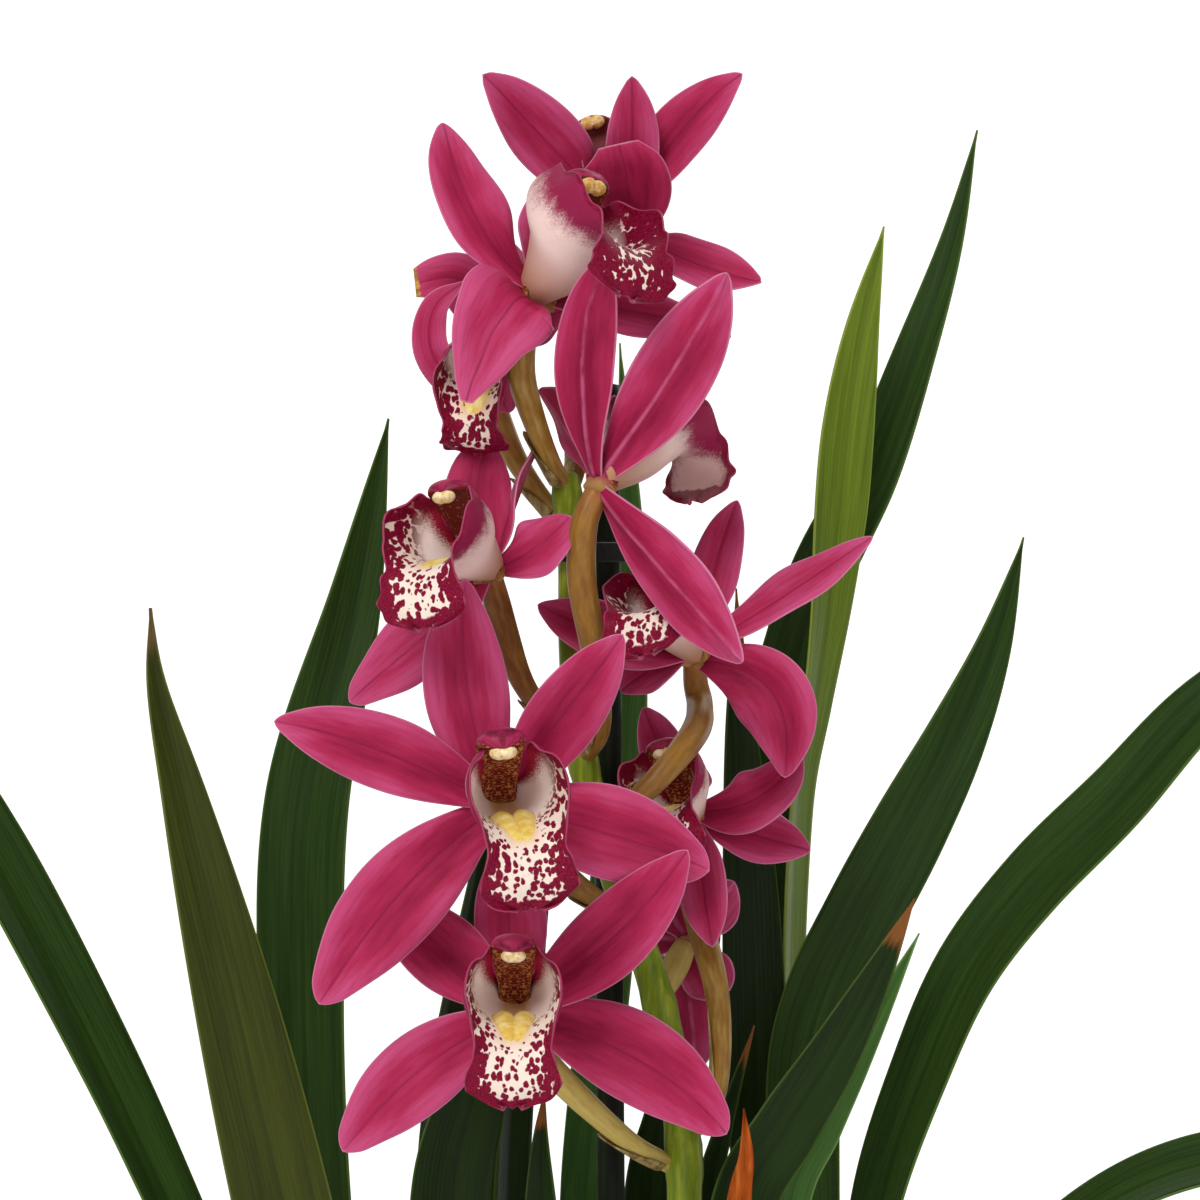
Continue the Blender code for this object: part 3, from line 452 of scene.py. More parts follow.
def leafCuticle(name, dark, light, edgeColour, tip=None):
    # Strap leaf cuticle, living tissue: satin green with fine parallel veins, a deeper midline and thin pale
    # edges. A tip gives the share of the length where it is worn, and its colour.
    veinGap = 1.1  # mm; drawn a little wider than real veins so that they show
    made, add = newMaterial(name, Roughness=0.40, IOR=1.45, Specular_IOR_Level=0.12)
    u, alongMm, acrossMm, edge, tone = surfaceValues(add, "u alongMm acrossMm edge tone")
    long = add("CombineXYZ", add("Math", alongMm, 0.04, operation="MULTIPLY"), acrossMm, tone)
    streaks = add("TexNoise", long, Scale=0.9, Detail=4.0, Roughness=0.65)
    patches = add("TexNoise", long, Scale=0.22, Detail=2.0)
    wave = add("Math", acrossMm, 2 * math.pi / veinGap, streaks, operation="MULTIPLY_ADD")
    veins = add("Math", add("Math", wave, operation="SINE"), 0.5, 0.5, operation="MULTIPLY_ADD")
    level = add("Math", add("Math", streaks, patches), 0.5, operation="MULTIPLY")
    level = add("Math", veins, 0.05, level, operation="MULTIPLY_ADD")
    ground = add("ValToRGB", level, stops=[(0.34, dark), (0.74, light)])
    rib = add("MapRange", add("Math", acrossMm, operation="ABSOLUTE"), 0.2, 0.9, 0.45, 0.0)
    ribbed = add("Mix", rib, ground, dark)
    margin = add("MapRange", edge, 0.1, 0.55, 0.7, 0.0)
    edged = add("Mix", margin, ribbed, edgeColour)
    foot = add("MapRange", u, 0.0, 0.16, 0.6, 0.0)
    footed = add("Mix", foot, edged, edgeColour)
    if tip:
        worn = add("MapRange", add("Math", streaks, 0.06, u, operation="MULTIPLY_ADD"), tip[0],
                   tip[0] + 0.015)
        footed = add("Mix", worn, footed, tip[1])
    rough = add("MapRange", patches, 0.3, 0.7, 0.34, 0.5)
    bump = add("Bump", Strength=0.14, Distance=0.0002, Height=veins)
    return dressed(made, Base_Color=footed, Roughness=rough, Normal=bump)


petal = tepalFlesh("waxyTepalFlesh")
worn = tepalFlesh("waxyTepalFleshWithDryTip", 0.97)
lip = lipFlesh()
column = columnFlesh()
stalk = stalkSkin()
# Anther cap, living tissue: matt cream with a little pollen gold.
cap = mottled("mattAntherCap", "#E9C98A", "#C8923E", "#F6E7C4", 0.9, 0.3, Roughness=0.6, IOR=1.4)
# Callus keel, living tissue: shiny butter yellow.
keel = mottled("butterCallusKeel", "#EBCD6B", "#DDB24C", "#F3E09C", 0.35, 0.12, Roughness=0.4, IOR=1.42)
# Scape skin, living tissue: glossy yellow-green with faint lengthwise streaks.
stem = mottled("smoothScapeSkin", "#778A1E", "#5A6E16", "#A2AC3A", 0.35, 0.1, streak=8.0, Roughness=0.36,
               IOR=1.45, Specular_IOR_Level=0.2)
# Bract, dried leaf tissue: thin papery tan that goes brown.
bract = mottled("paperyBract", "#A08A52", "#6E5428", "#C4B078", 0.5, 0.5, streak=6.0, Roughness=0.65, IOR=1.4)
# Dry sheath, dead leaf tissue: matt orange-brown with lengthwise cracks.
drySheath = mottled("crackedDrySheath", "#A04A16", "#73300C", "#BE6A2C", 0.45, 0.6, streak=9.0,
                    Roughness=0.75, Specular_IOR_Level=0.1, IOR=1.4)
# Bulb skin, living tissue: ribbed yellow-green, satin.
bulbSkin = mottled("ribbedBulbSkin", "#66782C", "#4A5A1E", "#8C9A48", 0.2, 0.35, streak=5.0, Roughness=0.45,
                   IOR=1.45)
# Old bulb sheath, dried leaf base: papery straw with brown fibres.
bulbSheath = mottled("paperyBulbSheath", "#A68F5E", "#6F5934", "#CDBB8C", 0.3, 0.8, streak=12.0,
                     Roughness=0.75, IOR=1.4)
# Pine bark, chipped: dull red-brown with grey weathered faces.
bark = mottled("chippedPineBark", "#6A4128", "#3A2114", "#97694A", 0.22, 1.0, 0.8, Roughness=0.92, IOR=1.4)
# Stoneware, thrown and dipped in a satin off-white glaze: soft gloss with a faint cloudy drift.
glaze = mottled("satinGlazedStoneware", "#D9D4C9", "#D2CCC0", "#E1DDD4", 0.03, 0.12, 0.4, Roughness=0.28,
                IOR=1.52, Coat_Weight=0.3, Coat_Roughness=0.12)
# Bamboo cane, dyed dark green: waxy skin with fine fibres.
cane = mottled("dyedBambooCane", "#141A0E", "#0B0F07", "#232B18", 0.4, 0.3, streak=25.0, Roughness=0.5,
               IOR=1.5, Specular_IOR_Level=0.12)
# Polypropylene, moulded: plain black with a fine matt grain.
clip = mottled("mouldedBlackPolypropylene", "#0E0E0E", "#090909", "#161616", 0.8, 0.2, Roughness=0.45,
               IOR=1.49, Specular_IOR_Level=0.2)
print("materials made")


# Pot, bark and bulbs

pot = dict(height=130.0, rimRadius=78.0, footRadius=57.0, wall=4.5, floor=6.0, band=12.0, segments=128)
barkBed = dict(
    top=114.0, rough=2.2, chips=430, seed=11, feet=[(9, 10, 6), (18, -10, 8)],  # the stake's and the stem's
    # each layer: its lift, and its smallest and largest chip
    layers={"bark_chips_low": (-1.5, 4.0, 8.5), "bark_chips_mid": (0.6, 4.0, 8.5),
            "bark_chips_top": (2.6, 5.5, 10.0)})
bulbTop, bulbFoot = 152.0, 98.0
oldSheaths = dict(count=5, thickness=0.4, top=0.62, step=0.12, point=0.34, gap=0.35, stack=0.45, flick=1.3)
bulbs = {  # centre x and y, and radius
    "pseudobulb_left": (-38, -2, 18),
    "pseudobulb_middle": (-9, 25, 16),
    "pseudobulb_right": (37, 17, 17),
    "pseudobulb_front": (43, -20, 12),
}


def potRadius(height, inset=0.0):
    flare = (pot["rimRadius"] - pot["footRadius"]) * (height / pot["height"]) ** 0.9
    return pot["footRadius"] + flare - inset


def turned(profile, segments):  # a closed body turned from (radius, height) points round the z axis
    radius, height = np.asarray(profile, float).T
    turn = fullTurn(segments)
    grid = np.stack([np.outer(radius, np.cos(turn)), np.outer(radius, np.sin(turn)),
                     np.outer(height, np.ones(segments))], -1)
    rings = len(profile)
    faces = gridFaces(rings, segments, wrap=True, flip=True)
    points = np.vstack([grid.reshape(-1, 3), [[0, 0, height[0]], [0, 0, height[-1]]]])
    return points, faces + fanEnds(rings, segments), plain(points)


def roundCorner(a, corner, b, steps=5):  # points that turn smoothly from a to b round the corner
    a, corner, b = (np.asarray(p, float) for p in (a, corner, b))
    return [tuple(a * (1 - t) ** 2 + corner * 2 * t * (1 - t) + b * t**2) for t in np.linspace(0, 1, steps)]


def wrapped(x, y, reach, angle, z):  # a papery sheet bent round an upright line
    grid = np.stack([x + reach * np.cos(angle), y + reach * np.sin(angle), z + 0 * angle], -1)
    return shell(grid[:, ::-1], oldSheaths["thickness"])


def makePot():
    high, rim, foot = pot["height"], pot["rimRadius"], pot["footRadius"]
    inner = potRadius(high, pot["wall"])
    bandFoot = high - pot["band"]
    profile = [(foot - 9, 1.6), (foot - 7.5, 1.2)]  # the foot ring stands a little below the sunk base
    profile += roundCorner((foot - 6.5, 0.2), (foot - 6, 0), (foot - 5, 0)) + [(foot - 3.2, 0)]
    profile += roundCorner((foot - 2.2, 0), (foot - 0.4, 0), (potRadius(2.5), 2.5))
    profile += [(potRadius(z) + 0.12 * math.sin(z * 0.9), z) for z in np.linspace(4, bandFoot - 3, 44)]
    profile += roundCorner((potRadius(bandFoot - 1.5), bandFoot - 1.5), (potRadius(bandFoot), bandFoot),
                           (rim - 0.9, bandFoot + 0.3))
    profile += roundCorner((rim - 0.7, bandFoot + 0.5), (rim, bandFoot + 0.9), (rim, bandFoot + 2.2))
    profile += [(rim, bandFoot + 5)] + roundCorner((rim, high - 2.4), (rim, high), (rim - 2.3, high), 8)
    profile += roundCorner((inner + 1.6, high), (inner, high), (inner, high - 1.8), 8)
    profile += [(potRadius(z, pot["wall"]), z) for z in np.linspace(high - 8, pot["floor"] + 4, 10)]
    profile += roundCorner((potRadius(pot["floor"] + 3, pot["wall"]), pot["floor"] + 3),
                           (potRadius(pot["floor"], pot["wall"]), pot["floor"]),
                           (potRadius(pot["floor"], pot["wall"]) - 4, pot["floor"]))
    makePiece("glazed_pot", turned(profile, pot["segments"]), glaze, ["pot"])


def waves(x, y, seed):  # a smooth field between about -1 and 1
    rng = random.Random(seed)
    total = 0
    for k in range(7):
        angle, shift, pitch = rng.uniform(0, math.pi), rng.uniform(0, 7), rng.uniform(9, 26)
        total = total + np.sin((x * math.cos(angle) + y * math.sin(angle)) * 2 * math.pi / pitch + shift)
    return total / 4


def chip(rng, size):  # an irregular slab of bark with worn corners
    sides = rng.randint(5, 7)
    turn = np.sort([(k + rng.uniform(-0.3, 0.3)) * 2 * math.pi / sides for k in range(sides)])
    reach = np.array([rng.uniform(0.7, 1.1) for _ in range(sides)])
    base = np.stack([np.cos(turn) * reach * size, np.sin(turn) * reach * size * rng.uniform(0.5, 0.85)], 1)
    thick = size * rng.uniform(0.28, 0.55)
    rings = [(0.80, -0.5), (1.0, -0.28), (0.97, 0.25), (0.76, 0.5)]
    skew = np.array([rng.uniform(-0.2, 0.2) * size, rng.uniform(-0.2, 0.2) * size])
    body = [np.column_stack([base * grow + skew * z, np.full(sides, z * thick)
                             + np.array([rng.uniform(-0.08, 0.08) * thick for _ in range(sides)])])
            for grow, z in rings]
    points = np.vstack(body + [[[*(skew * -0.5), -0.5 * thick], [*(skew * 0.5), 0.5 * thick]]])
    faces = gridFaces(len(rings), sides, wrap=True, flip=True) + fanEnds(len(rings), sides)
    yaw, pitch, roll = rng.uniform(0, 2 * math.pi), rng.gauss(0, 0.4), rng.gauss(0, 0.4)
    cy, sy, cp, sp, cr, sr = (f(a) for a in (yaw, pitch, roll) for f in (math.cos, math.sin))
    rot = (np.array([[cy, -sy, 0], [sy, cy, 0], [0, 0, 1]]) @ np.array([[cp, 0, sp], [0, 1, 0], [-sp, 0, cp]])
           @ np.array([[1, 0, 0], [0, cr, -sr], [0, sr, cr]]))
    return points @ rot.T, faces


def makeBark():
    inside = potRadius(barkBed["top"], pot["wall"] + 0.5)
    turn = fullTurn(96)
    rings = 46
    radius = np.concatenate([[pot["footRadius"] - 6, inside - 6.5], np.linspace(inside - 0.2, 1.5, rings)])
    x, y = np.outer(radius, np.cos(turn)), np.outer(radius, np.sin(turn))
    top = barkBed["top"] - 3.2 + barkBed["rough"] * waves(x, y, 3)
    lower = np.array([7.0, 60] + [0] * rings)[:, None]  # two rings below the surface
    height = np.where(lower > 0, lower, top)
    grid = np.stack([x, y, height], -1)
    points, faces, _ = closedTube(grid, 0.0)
    # The bed under the chips gets a low tone and comes out darker: painted shade in the gaps between chips.
    makePiece("bark_bed", (points, faces, plain(points)), bark, ["bark_mix"], 0.3)
    rng = random.Random(barkBed["seed"])
    blocked = [(x, y, r + 1) for x, y, r in bulbs.values()] + barkBed["feet"]
    layers, chosen = {name: [] for name in barkBed["layers"]}, 0
    while chosen < barkBed["chips"]:
        layer = list(layers)[chosen * len(layers) // barkBed["chips"]]
        lift, small, large = barkBed["layers"][layer]
        size = rng.uniform(small, large)
        far = inside - size - 0.8
        reach, angle = far * math.sqrt(rng.random()), rng.uniform(0, 2 * math.pi)
        at = (reach * math.cos(angle), reach * math.sin(angle))
        if any(math.dist(at, (bx, by)) < br + size * 0.6 for bx, by, br in blocked):
            continue
        points, faces = chip(rng, size)
        points = points + (*at, barkBed["top"] - 1.5 + lift + rng.uniform(-1, 1.2))
        values = np.tile([rng.random(), 0, 0], (len(points), 1))
        layers[layer].append((points, faces, dict(place=values, span=values * 0)))
        chosen += 1
    # Each higher layer gets a lighter tone: painted shade on the lower chips, which lie under the top ones.
    for number, (name, parts) in enumerate(layers.items()):
        makePiece(name, joined(parts), bark, ["bark_mix"], 0.42 + 0.12 * number, smooth=False)


def bulbRadius(share):
    return along([0.5, 0.80, 0.95, 1.0, 0.99, 0.94, 0.85, 0.72, 0.55], share)


def makeBulb(name, x, y, radius):
    rng = random.Random(name)
    rings, sides = 34, 56
    share = np.linspace(0, 1, rings)
    turn = fullTurn(sides)
    ribs = 1 + 0.018 * np.cos(turn * 13 + rng.uniform(0, 6)) + 0.012 * np.cos(turn * 7 + rng.uniform(0, 6))
    across = bulbRadius(share) * radius
    grid = np.stack([x + np.outer(across, np.cos(turn) * ribs), y + np.outer(across, np.sin(turn) * ribs),
                     np.outer(bulbFoot + (bulbTop + 2 - bulbFoot) * share, np.ones(sides))], -1)
    makePiece(name + "_body", closedTube(grid, 0.45), bulbSkin, [name], rng.uniform(0.4, 0.6))
    parts = []
    s, v = np.linspace(0, 1, 22)[:, None], np.linspace(-1, 1, 25)[None, :]
    for k in range(oldSheaths["count"]):  # old leaf bases, each open on one side and drawn out to a point
        facing, half = rng.uniform(0, 2 * math.pi) + k * 2.4, rng.uniform(1.35, 1.85)
        low = rng.uniform(0.02, 0.1)
        high = (oldSheaths["top"] + oldSheaths["step"] * k) + rng.uniform(-0.05, 0.05)
        top = low + (high - low) * (1 - oldSheaths["point"] * np.abs(v) ** 1.6) * s
        angle = facing + v * half * (1 - 0.12 * s)
        reach = bulbRadius(top.ravel().clip(0, 1)).reshape(top.shape) * radius * 1.02
        reach = reach + oldSheaths["gap"] + oldSheaths["stack"] * k
        reach = reach + oldSheaths["flick"] * smoothStep((s - 0.75) / 0.25) + 0.22 * np.sin(angle * 9 + k)
        parts.append(wrapped(x, y, reach, angle, bulbFoot + (bulbTop - bulbFoot) * top))
    makePiece(name + "_sheaths", joined(parts), bulbSheath, [name], rng.uniform(0.4, 0.6))


makePot()
makeBark()
for name, (x, y, radius) in bulbs.items():
    makeBulb(name, x, y, radius)
print("pot, bark and bulbs made")


# Leaves

leafShape = dict(thickness=1.4, sunk=5, baseFold=0.85, wave=0.35)  # sunk: into the bulb
leaves = {  # each: its route from bulb to tip, width, where it is widest, fold, and the way it faces
    "leaf_far_left": dict(
        route=[(-49, -3, bulbTop), (-64, -4, 200), (-83, -5, 245), (-101, -6, 285), (-118, -10, 322),
               (-145, -16, 374), (-164, -22, 402), (-192, -30, 424), (-222, -38, 420), (-240, -44, 398)],
        width=20, widest=0.6, fold=0.30, middle=(0.62, -0.70, 0.2), tip=(0.3, -0.6, 0.75)),
    "leaf_left_front": dict(
        route=[(-42, -8, bulbTop), (-52, -13, 200), (-64, -17, 243), (-73.5, -20, 285), (-85, -24, 335),
               (-97, -28, 385), (-104, -32, 414), (-105.5, -35, 433)],
        green="olive", width=24.5, widest=0.44, fold=0.16, middle=(0.1, -1, 0), tip=(0.5, -0.9, 0)),
    "leaf_left_back": dict(
        route=[(-35, 2, bulbTop), (-48, 6, 200), (-61, 8, 243), (-67.5, 10, 285), (-70.5, 14, 335),
               (-69, 18, 385), (-57, 24, 435), (-48.5, 28, 481)],
        width=23.5, widest=0.62, fold=0.20, middle=(-0.35, -1, 0), tip=(0.2, -1, 0)),
    "leaf_middle_left": dict(
        route=[(-29.5, 3, bulbTop), (-37, 12, 200), (-40, 21, 245), (-38, 29, 285), (-36, 33, 308),
               (-31, 37, 337), (-25.5, 41, 368), (-21, 44, 396)],
        green="dark", width=14, widest=0.5, fold=0.25, middle=(0.9, -0.55, 0), tip=(0.8, -0.5, 0)),
    "leaf_middle_broad": dict(
        route=[(-17, 24, bulbTop), (-26, 20, 200), (-31, 16, 245), (-32, 15, 285), (-27, 16, 309),
               (-19, 18, 332), (-13, 20, 350)],
        green="dark", width=22, widest=0.62, fold=0.14, middle=(0.25, -1, 0), tip=(0, -1, 0)),
    "leaf_middle_upright": dict(
        route=[(-12, 27, bulbTop), (-15, 34, 200), (-17, 39, 245), (-17, 44, 285), (-15, 50, 322),
               (-11, 58, 356), (-6, 66, 384)],
        green="dark", width=16, widest=0.5, fold=0.25, middle=(0.85, -0.6, 0), tip=(0.5, -0.8, 0)),
    "leaf_middle_short": dict(
        route=[(-7, 20, bulbTop), (-7, 14, 200), (-9, 8, 245), (-10, 4, 285), (-10, 5, 300), (-9, 6, 312)],
        green="dark", width=12, widest=0.6, fold=0.3, middle=(-0.4, -0.9, 0), tip=(0, -1, 0)),
    "leaf_middle_tall": dict(
        route=[(-2, 28, bulbTop), (-1, 35, 200), (-1, 40, 245), (0.5, 44, 285), (6, 48, 335), (10, 51, 380),
               (12, 53, 420), (12.5, 54, 455), (10, 55, 501)],
        green="pale", width=14, widest=0.55, fold=0.22, middle=(-0.45, -0.9, 0), tip=(0, -1, 0)),
    "leaf_behind_stem": dict(
        route=[(28, 14, bulbTop), (22, 22, 200), (18, 28, 245), (17.5, 32, 285), (20, 34, 302), (23, 36, 316),
               (26, 38, 328)],
        green="dark", width=15, widest=0.6, fold=0.15, middle=(0.2, -1, 0), tip=(0, -1, 0)),
    "leaf_right_dark": dict(
        route=[(33, 23, bulbTop), (39, 33, 200), (43, 38, 245), (46, 40, 285), (45, 41, 310), (43.5, 43, 360),
               (41, 45, 405), (40, 45, 438)],
        green="dark", width=16, widest=0.62, fold=0.15, middle=(0.1, -1, 0), tip=(0.4, -1, 0)),
    "leaf_tall_right": dict(
        route=[(37, 26, bulbTop), (42, 42, 200), (46, 51, 245), (49, 55, 285), (47, 60, 345), (47.5, 63, 385),
               (53, 65, 415), (62, 67, 442), (75, 69, 468), (86, 71, 498), (96, 74, 528), (103, 77, 557)],
        width=17, widest=0.68, fold=0.2, middle=(-0.35, -1, 0), tip=(-0.5, -1, 0)),
    "leaf_tall_light": dict(
        route=[(41, 21, bulbTop), (50, 32, 200), (55, 42, 245), (57, 48, 285), (55, 51, 335), (57, 52, 382),
               (61, 53, 408), (64.5, 54, 432), (67, 54, 457), (69, 54, 480), (72.5, 55, 505), (78, 55, 531)],
        green="fresh", width=17.5, widest=0.78, fold=0.15, middle=(1.0, -0.35, 0), tip=(0.1, -1, 0)),
    "leaf_right_broad": dict(
        route=[(45, 15, bulbTop), (55, 20, 200), (59, 25, 245), (57, 28, 285), (57, 31, 315), (62, 33, 335),
               (72, 35, 355), (84, 38, 377), (96, 41, 400), (106, 44, 424), (113.5, 46, 451)],
        width=20.5, widest=0.7, fold=0.12, middle=(0.05, -1, 0.1), tip=(0.5, -0.9, 0.2)),
    "leaf_far_right": dict(
        route=[(48, 9, bulbTop), (60, 8, 200), (68, 6, 245), (74, 3, 285), (84.5, -1, 317), (96, -5, 343),
               (112.5, -9, 365), (133, -14, 386), (155, -19, 410), (182, -26, 428), (212, -34, 430),
               (238, -42, 416)],
        width=19.5, widest=0.62, fold=0.30, middle=(-0.55, -0.75, 0.2), tip=(-0.3, -0.6, 0.75)),
    "leaf_right_low": dict(
        route=[(50, -19, bulbTop), (68, -25, 200), (88, -32, 241), (108, -39, 271), (130, -46, 290),
               (156, -52, 300), (184, -58, 300), (212, -64, 286), (236, -69, 262)],
        width=20, widest=0.6, fold=0.2, middle=(-0.35, -0.55, 0.75), tip=(0.2, -0.6, 0.75)),
    "leaf_front_dark": dict(
        route=[(44, -25, bulbTop), (38, -25, 200), (36, -24, 245), (40.5, -23, 285), (51, -22, 304),
               (62.5, -21, 322), (73, -19, 341), (83, -17, 361)],
        green="dark", width=16.5, widest=0.66, fold=0.15, middle=(0.1, -1, 0.05), tip=(0.1, -1, 0.1)),
    "leaf_front_behind": dict(
        route=[(46, -16, bulbTop), (47, -12, 200), (49, -10, 245), (52, -9, 285), (60, -9, 303),
               (68, -8, 319), (76, -7, 335), (84.5, -6, 352)],
        green="pale", width=11, widest=0.66, fold=0.15, middle=(0.1, -1, 0.05), tip=(0.1, -1, 0.1)),
    "leaf_young": dict(
        route=[(39, -15, bulbTop), (37, -8, 200), (35, 0, 245), (33, 8, 285), (35.5, 10, 300),
               (39.5, 11, 314), (44, 12, 328)],
        green="dark", width=9, widest=0.55, fold=0.25, middle=(0.4, -0.9, 0), tip=(0, -1, 0)),
    "dry_sheath": dict(
        route=[(40, -32, bulbTop - 4), (37, -34, 190), (36.5, -35, 240), (39, -35, 285), (41, -34, 298),
               (40.5, -33, 310)],
        green="dry", width=7.5, widest=0.75, fold=0.45, middle=(0.15, -1, 0), tip=(0, -1, 0)),
}


def leafWidth(share, widest):
    rising = 0.55 + 0.45 * smoothStep(share / widest)
    falling = np.maximum(1 - (np.clip(share - widest, 0, 1) / (1 - widest)) ** 1.9, 0.02)
    return np.where(share < widest, rising, falling)


def turnedFaces(lines, keys):  # a face direction at each point, kept square to the line
    return np.array([squareTo(face, line) for face, line in zip(keys, lines)])


def makeLeaf(name, leaf, look):
    s, v = np.linspace(0, 1, 110), np.linspace(-1, 1, 15)
    rng = random.Random(name)
    route = np.array(leaf["route"], float)
    route[0, 2] -= leafShape["sunk"]
    points = evenPoints(route, len(s))
    lines = tangents(points)
    outward = 1 if leaf["route"][2][0] > leaf["route"][0][0] else -1
    base = np.array([-outward, 0, 0.2])
    early, late = smoothStep(s / 0.42)[:, None], smoothStep((s - 0.6) / 0.4)[:, None]
    faces = base * (1 - early) + unit(leaf["middle"]) * early
    faces = turnedFaces(lines, faces * (1 - late) + unit(leaf["tip"]) * late)
    side = np.cross(faces, lines)
    half = leaf["width"] * leafWidth(s, leaf["widest"]) / 2
    fold = leaf["fold"] + (leafShape["baseFold"] - leaf["fold"]) * (1 - smoothStep(s / 0.14))
    # The margins wave slightly.
    sway = leafShape["wave"] * np.sin(s * rng.uniform(7, 11) + rng.uniform(0, 6))
    lift = -fold[:, None] * half[:, None] * (1 - np.abs(v)[None, :] ** 1.2)
    lift = lift + (sway[:, None] * v[None, :] ** 3) * smoothStep(s * 4)[:, None]
    grid = (points[:, None] + side[:, None] * (half[:, None] * v[None, :])[..., None]
            + faces[:, None] * lift[..., None])
    thick = leafShape["thickness"] * np.minimum(1, 0.3 + half / 6)[:, None]
    thick = thick * (1 - 0.62 * np.abs(v) ** 1.5)[None, :]
    makePiece(name + "_blade", shell(grid, thick), look, [name],
              rng.uniform(0.35, 0.65))


greens = {
    "deep": leafCuticle("deepLeafCuticle", "#172A09", "#2F4717", "#56702C"),
    "dark": leafCuticle("darkLeafCuticle", "#0E1C03", "#20340C", "#4A6222", (0.965, "#7A4A22")),
    "olive": leafCuticle("oliveLeafCuticle", "#252C08", "#404614", "#6A7430", (0.985, "#5A4A28")),
    "fresh": leafCuticle("freshLeafCuticle", "#4A5C12", "#6F8424", "#94A648"),
    "pale": leafCuticle("paleLeafCuticle", "#2E5220", "#4E7434", "#829E5C"),
    "dry": drySheath,
}
for name, leaf in leaves.items():
    makeLeaf(name, leaf, greens[leaf.get("green", "deep")])
print("leaves made:", len(leaves))


# Stem, stake and clips

scape = dict(
    route=[(18, -10, 116), (20, -10, 150), (24, -9, 220), (26, -7, 285), (25, -5, 305), (22, -3, 325),
           (16.5, -1, 345), (10, 0, 362), (3, 0, 385), (-0.5, 0, 402), (-2, 0, 424), (-2.3, 0, 446),
           (-3.6, 0, 466)],
    radii=[5.0, 4.7, 3.9, 3.2], joint=0.13, jointReach=3.0, sheaths=[(122, 176), (160, 214), (205, 262)])
stake = dict(foot=(9.5, 10, 40), top=(6.3, 9.5, 489), radius=3.6, nodes=(96, 178, 262, 349, 432),
             ridge=0.11, groove=0.06)  # at each node, as shares of the radius
clips = dict(
    heights={"clip_lower": 262.0, "clip_upper": 444.5}, wall=1.3, depth=5.0, room=5.4, worn=(0.4, 0.5))


def atHeight(route, height):
    z = [p[2] for p in route]
    return np.array([np.interp(height, z, [p[k] for p in route]) for k in range(3)])


def makeScape(joints):
    grid = tubeGrid(scape["route"], scape["radii"], 150, 28, ribs=7, ribDepth=0.012)
    height = grid.mean(axis=1)[:, 2]
    grid = swollen(grid, 1 + sum(scape["joint"] * hump(height, z, scape["jointReach"]) for z in joints))
    makePiece("flower_stem_scape", closedTube(grid, 0.4), stem, ["flower_stem"], 0.5)
    parts = []
    for number, (low, high) in enumerate(scape["sheaths"]):
        s, v = np.linspace(0, 1, 26)[:, None], np.linspace(-1, 1, 21)[None, :]
        centre = np.array([atHeight(scape["route"], z) for z in np.linspace(low, high, len(s))])
        angle = 2.4 + number * 2.6 + v * (2.7 * (1 - 0.72 * s**2.2))
        reach = 5.9 + 0.3 * number + 1.5 * smoothStep((s - 0.6) / 0.4)
        z = centre[:, 2:3] - (high - low) * 0.25 * np.abs(v) ** 1.5 * s
        parts.append(wrapped(centre[:, :1], centre[:, 1:2], reach, angle, z))
    makePiece("flower_stem_sheaths", joined(parts), bract, ["flower_stem"], 0.45)


def makeStake():
    foot, top = np.array(stake["foot"], float), np.array(stake["top"], float)
    height = foot[2] + (top[2] - foot[2]) * np.linspace(0, 1, 190)
    grid = tubeGrid([foot, top], [stake["radius"]] * 2, len(height), 26)
    swell = 1 - 0.03 + sum(stake["ridge"] * hump(height, z, 1.6)
                           - stake["groove"] * hump(height, z + 3.4, 1.2) for z in stake["nodes"])
    makePiece("stake_cane", closedTube(swollen(grid, swell), 0.12), cane, ["stake"], 0.5)


def makeClip(name, height):
    # A spring band round the stem and the stake, with rounded edges and two finger tabs at its joint.
    stemAt, stakeAt = atHeight(scape["route"], height), atHeight([stake["foot"], stake["top"]], height)
    direction = unit((stakeAt - stemAt)[:2])
    start = math.atan2(direction[1], direction[0]) - math.pi / 2
    arc = np.linspace(0, math.pi, 21)
    centre = np.array([stakeAt[:2]] * len(arc) + [stemAt[:2]] * len(arc))
    turn = np.concatenate([start + arc, start + math.pi + arc])
    out = np.stack([np.cos(turn), np.sin(turn)], 1)
    wornX, wornZ = clips["worn"]
    section = []  # a rounded rectangle, outwards and up
    for cornerX, cornerZ, angle in ((1, 1, 0), (0, 1, 90), (0, 0, 180), (1, 0, 270)):
        for step in (0, 30, 60, 90):
            a = math.radians(angle + step)
            x = clips["room"] + clips["wall"] * cornerX + (-wornX if cornerX else wornX) + wornX * math.cos(a)
            z = height + clips["depth"] * cornerZ + (-wornZ if cornerZ else wornZ) + wornZ * math.sin(a)
            section.append((x, z))
    rings, sides = len(section), len(turn)
    grid = np.array([np.column_stack([centre + out * r, np.full(sides, z)]) for r, z in section])
    faces = [[k % (rings * sides) for k in face] for face in gridFaces(rings + 1, sides, wrap=True)]
    points = grid.reshape(-1, 3)
    parts = [(points, faces, plain(points))]
    for sign in (-1, 1):
        root = np.append(stakeAt[:2] + direction * (clips["room"] + clips["wall"] * 0.5), height + 2.5)
        away = np.append(direction, 0) + np.array([-direction[1], direction[0], 0]) * 0.45 * sign
        tab = tubeGrid([root, root + away * 2.2, root + away * 4.2], [1.9, 1.7, 1.3], 9, 14, 0.45,
                       across=(0, 0, 1))
        parts.append(closedTube(tab, 0.4))
    makePiece(name + "_band", joined(parts), clip, [name], 0.5)


makeStake()
for name, height in clips["heights"].items():
    makeClip(name, height)
print("stake and clips made")
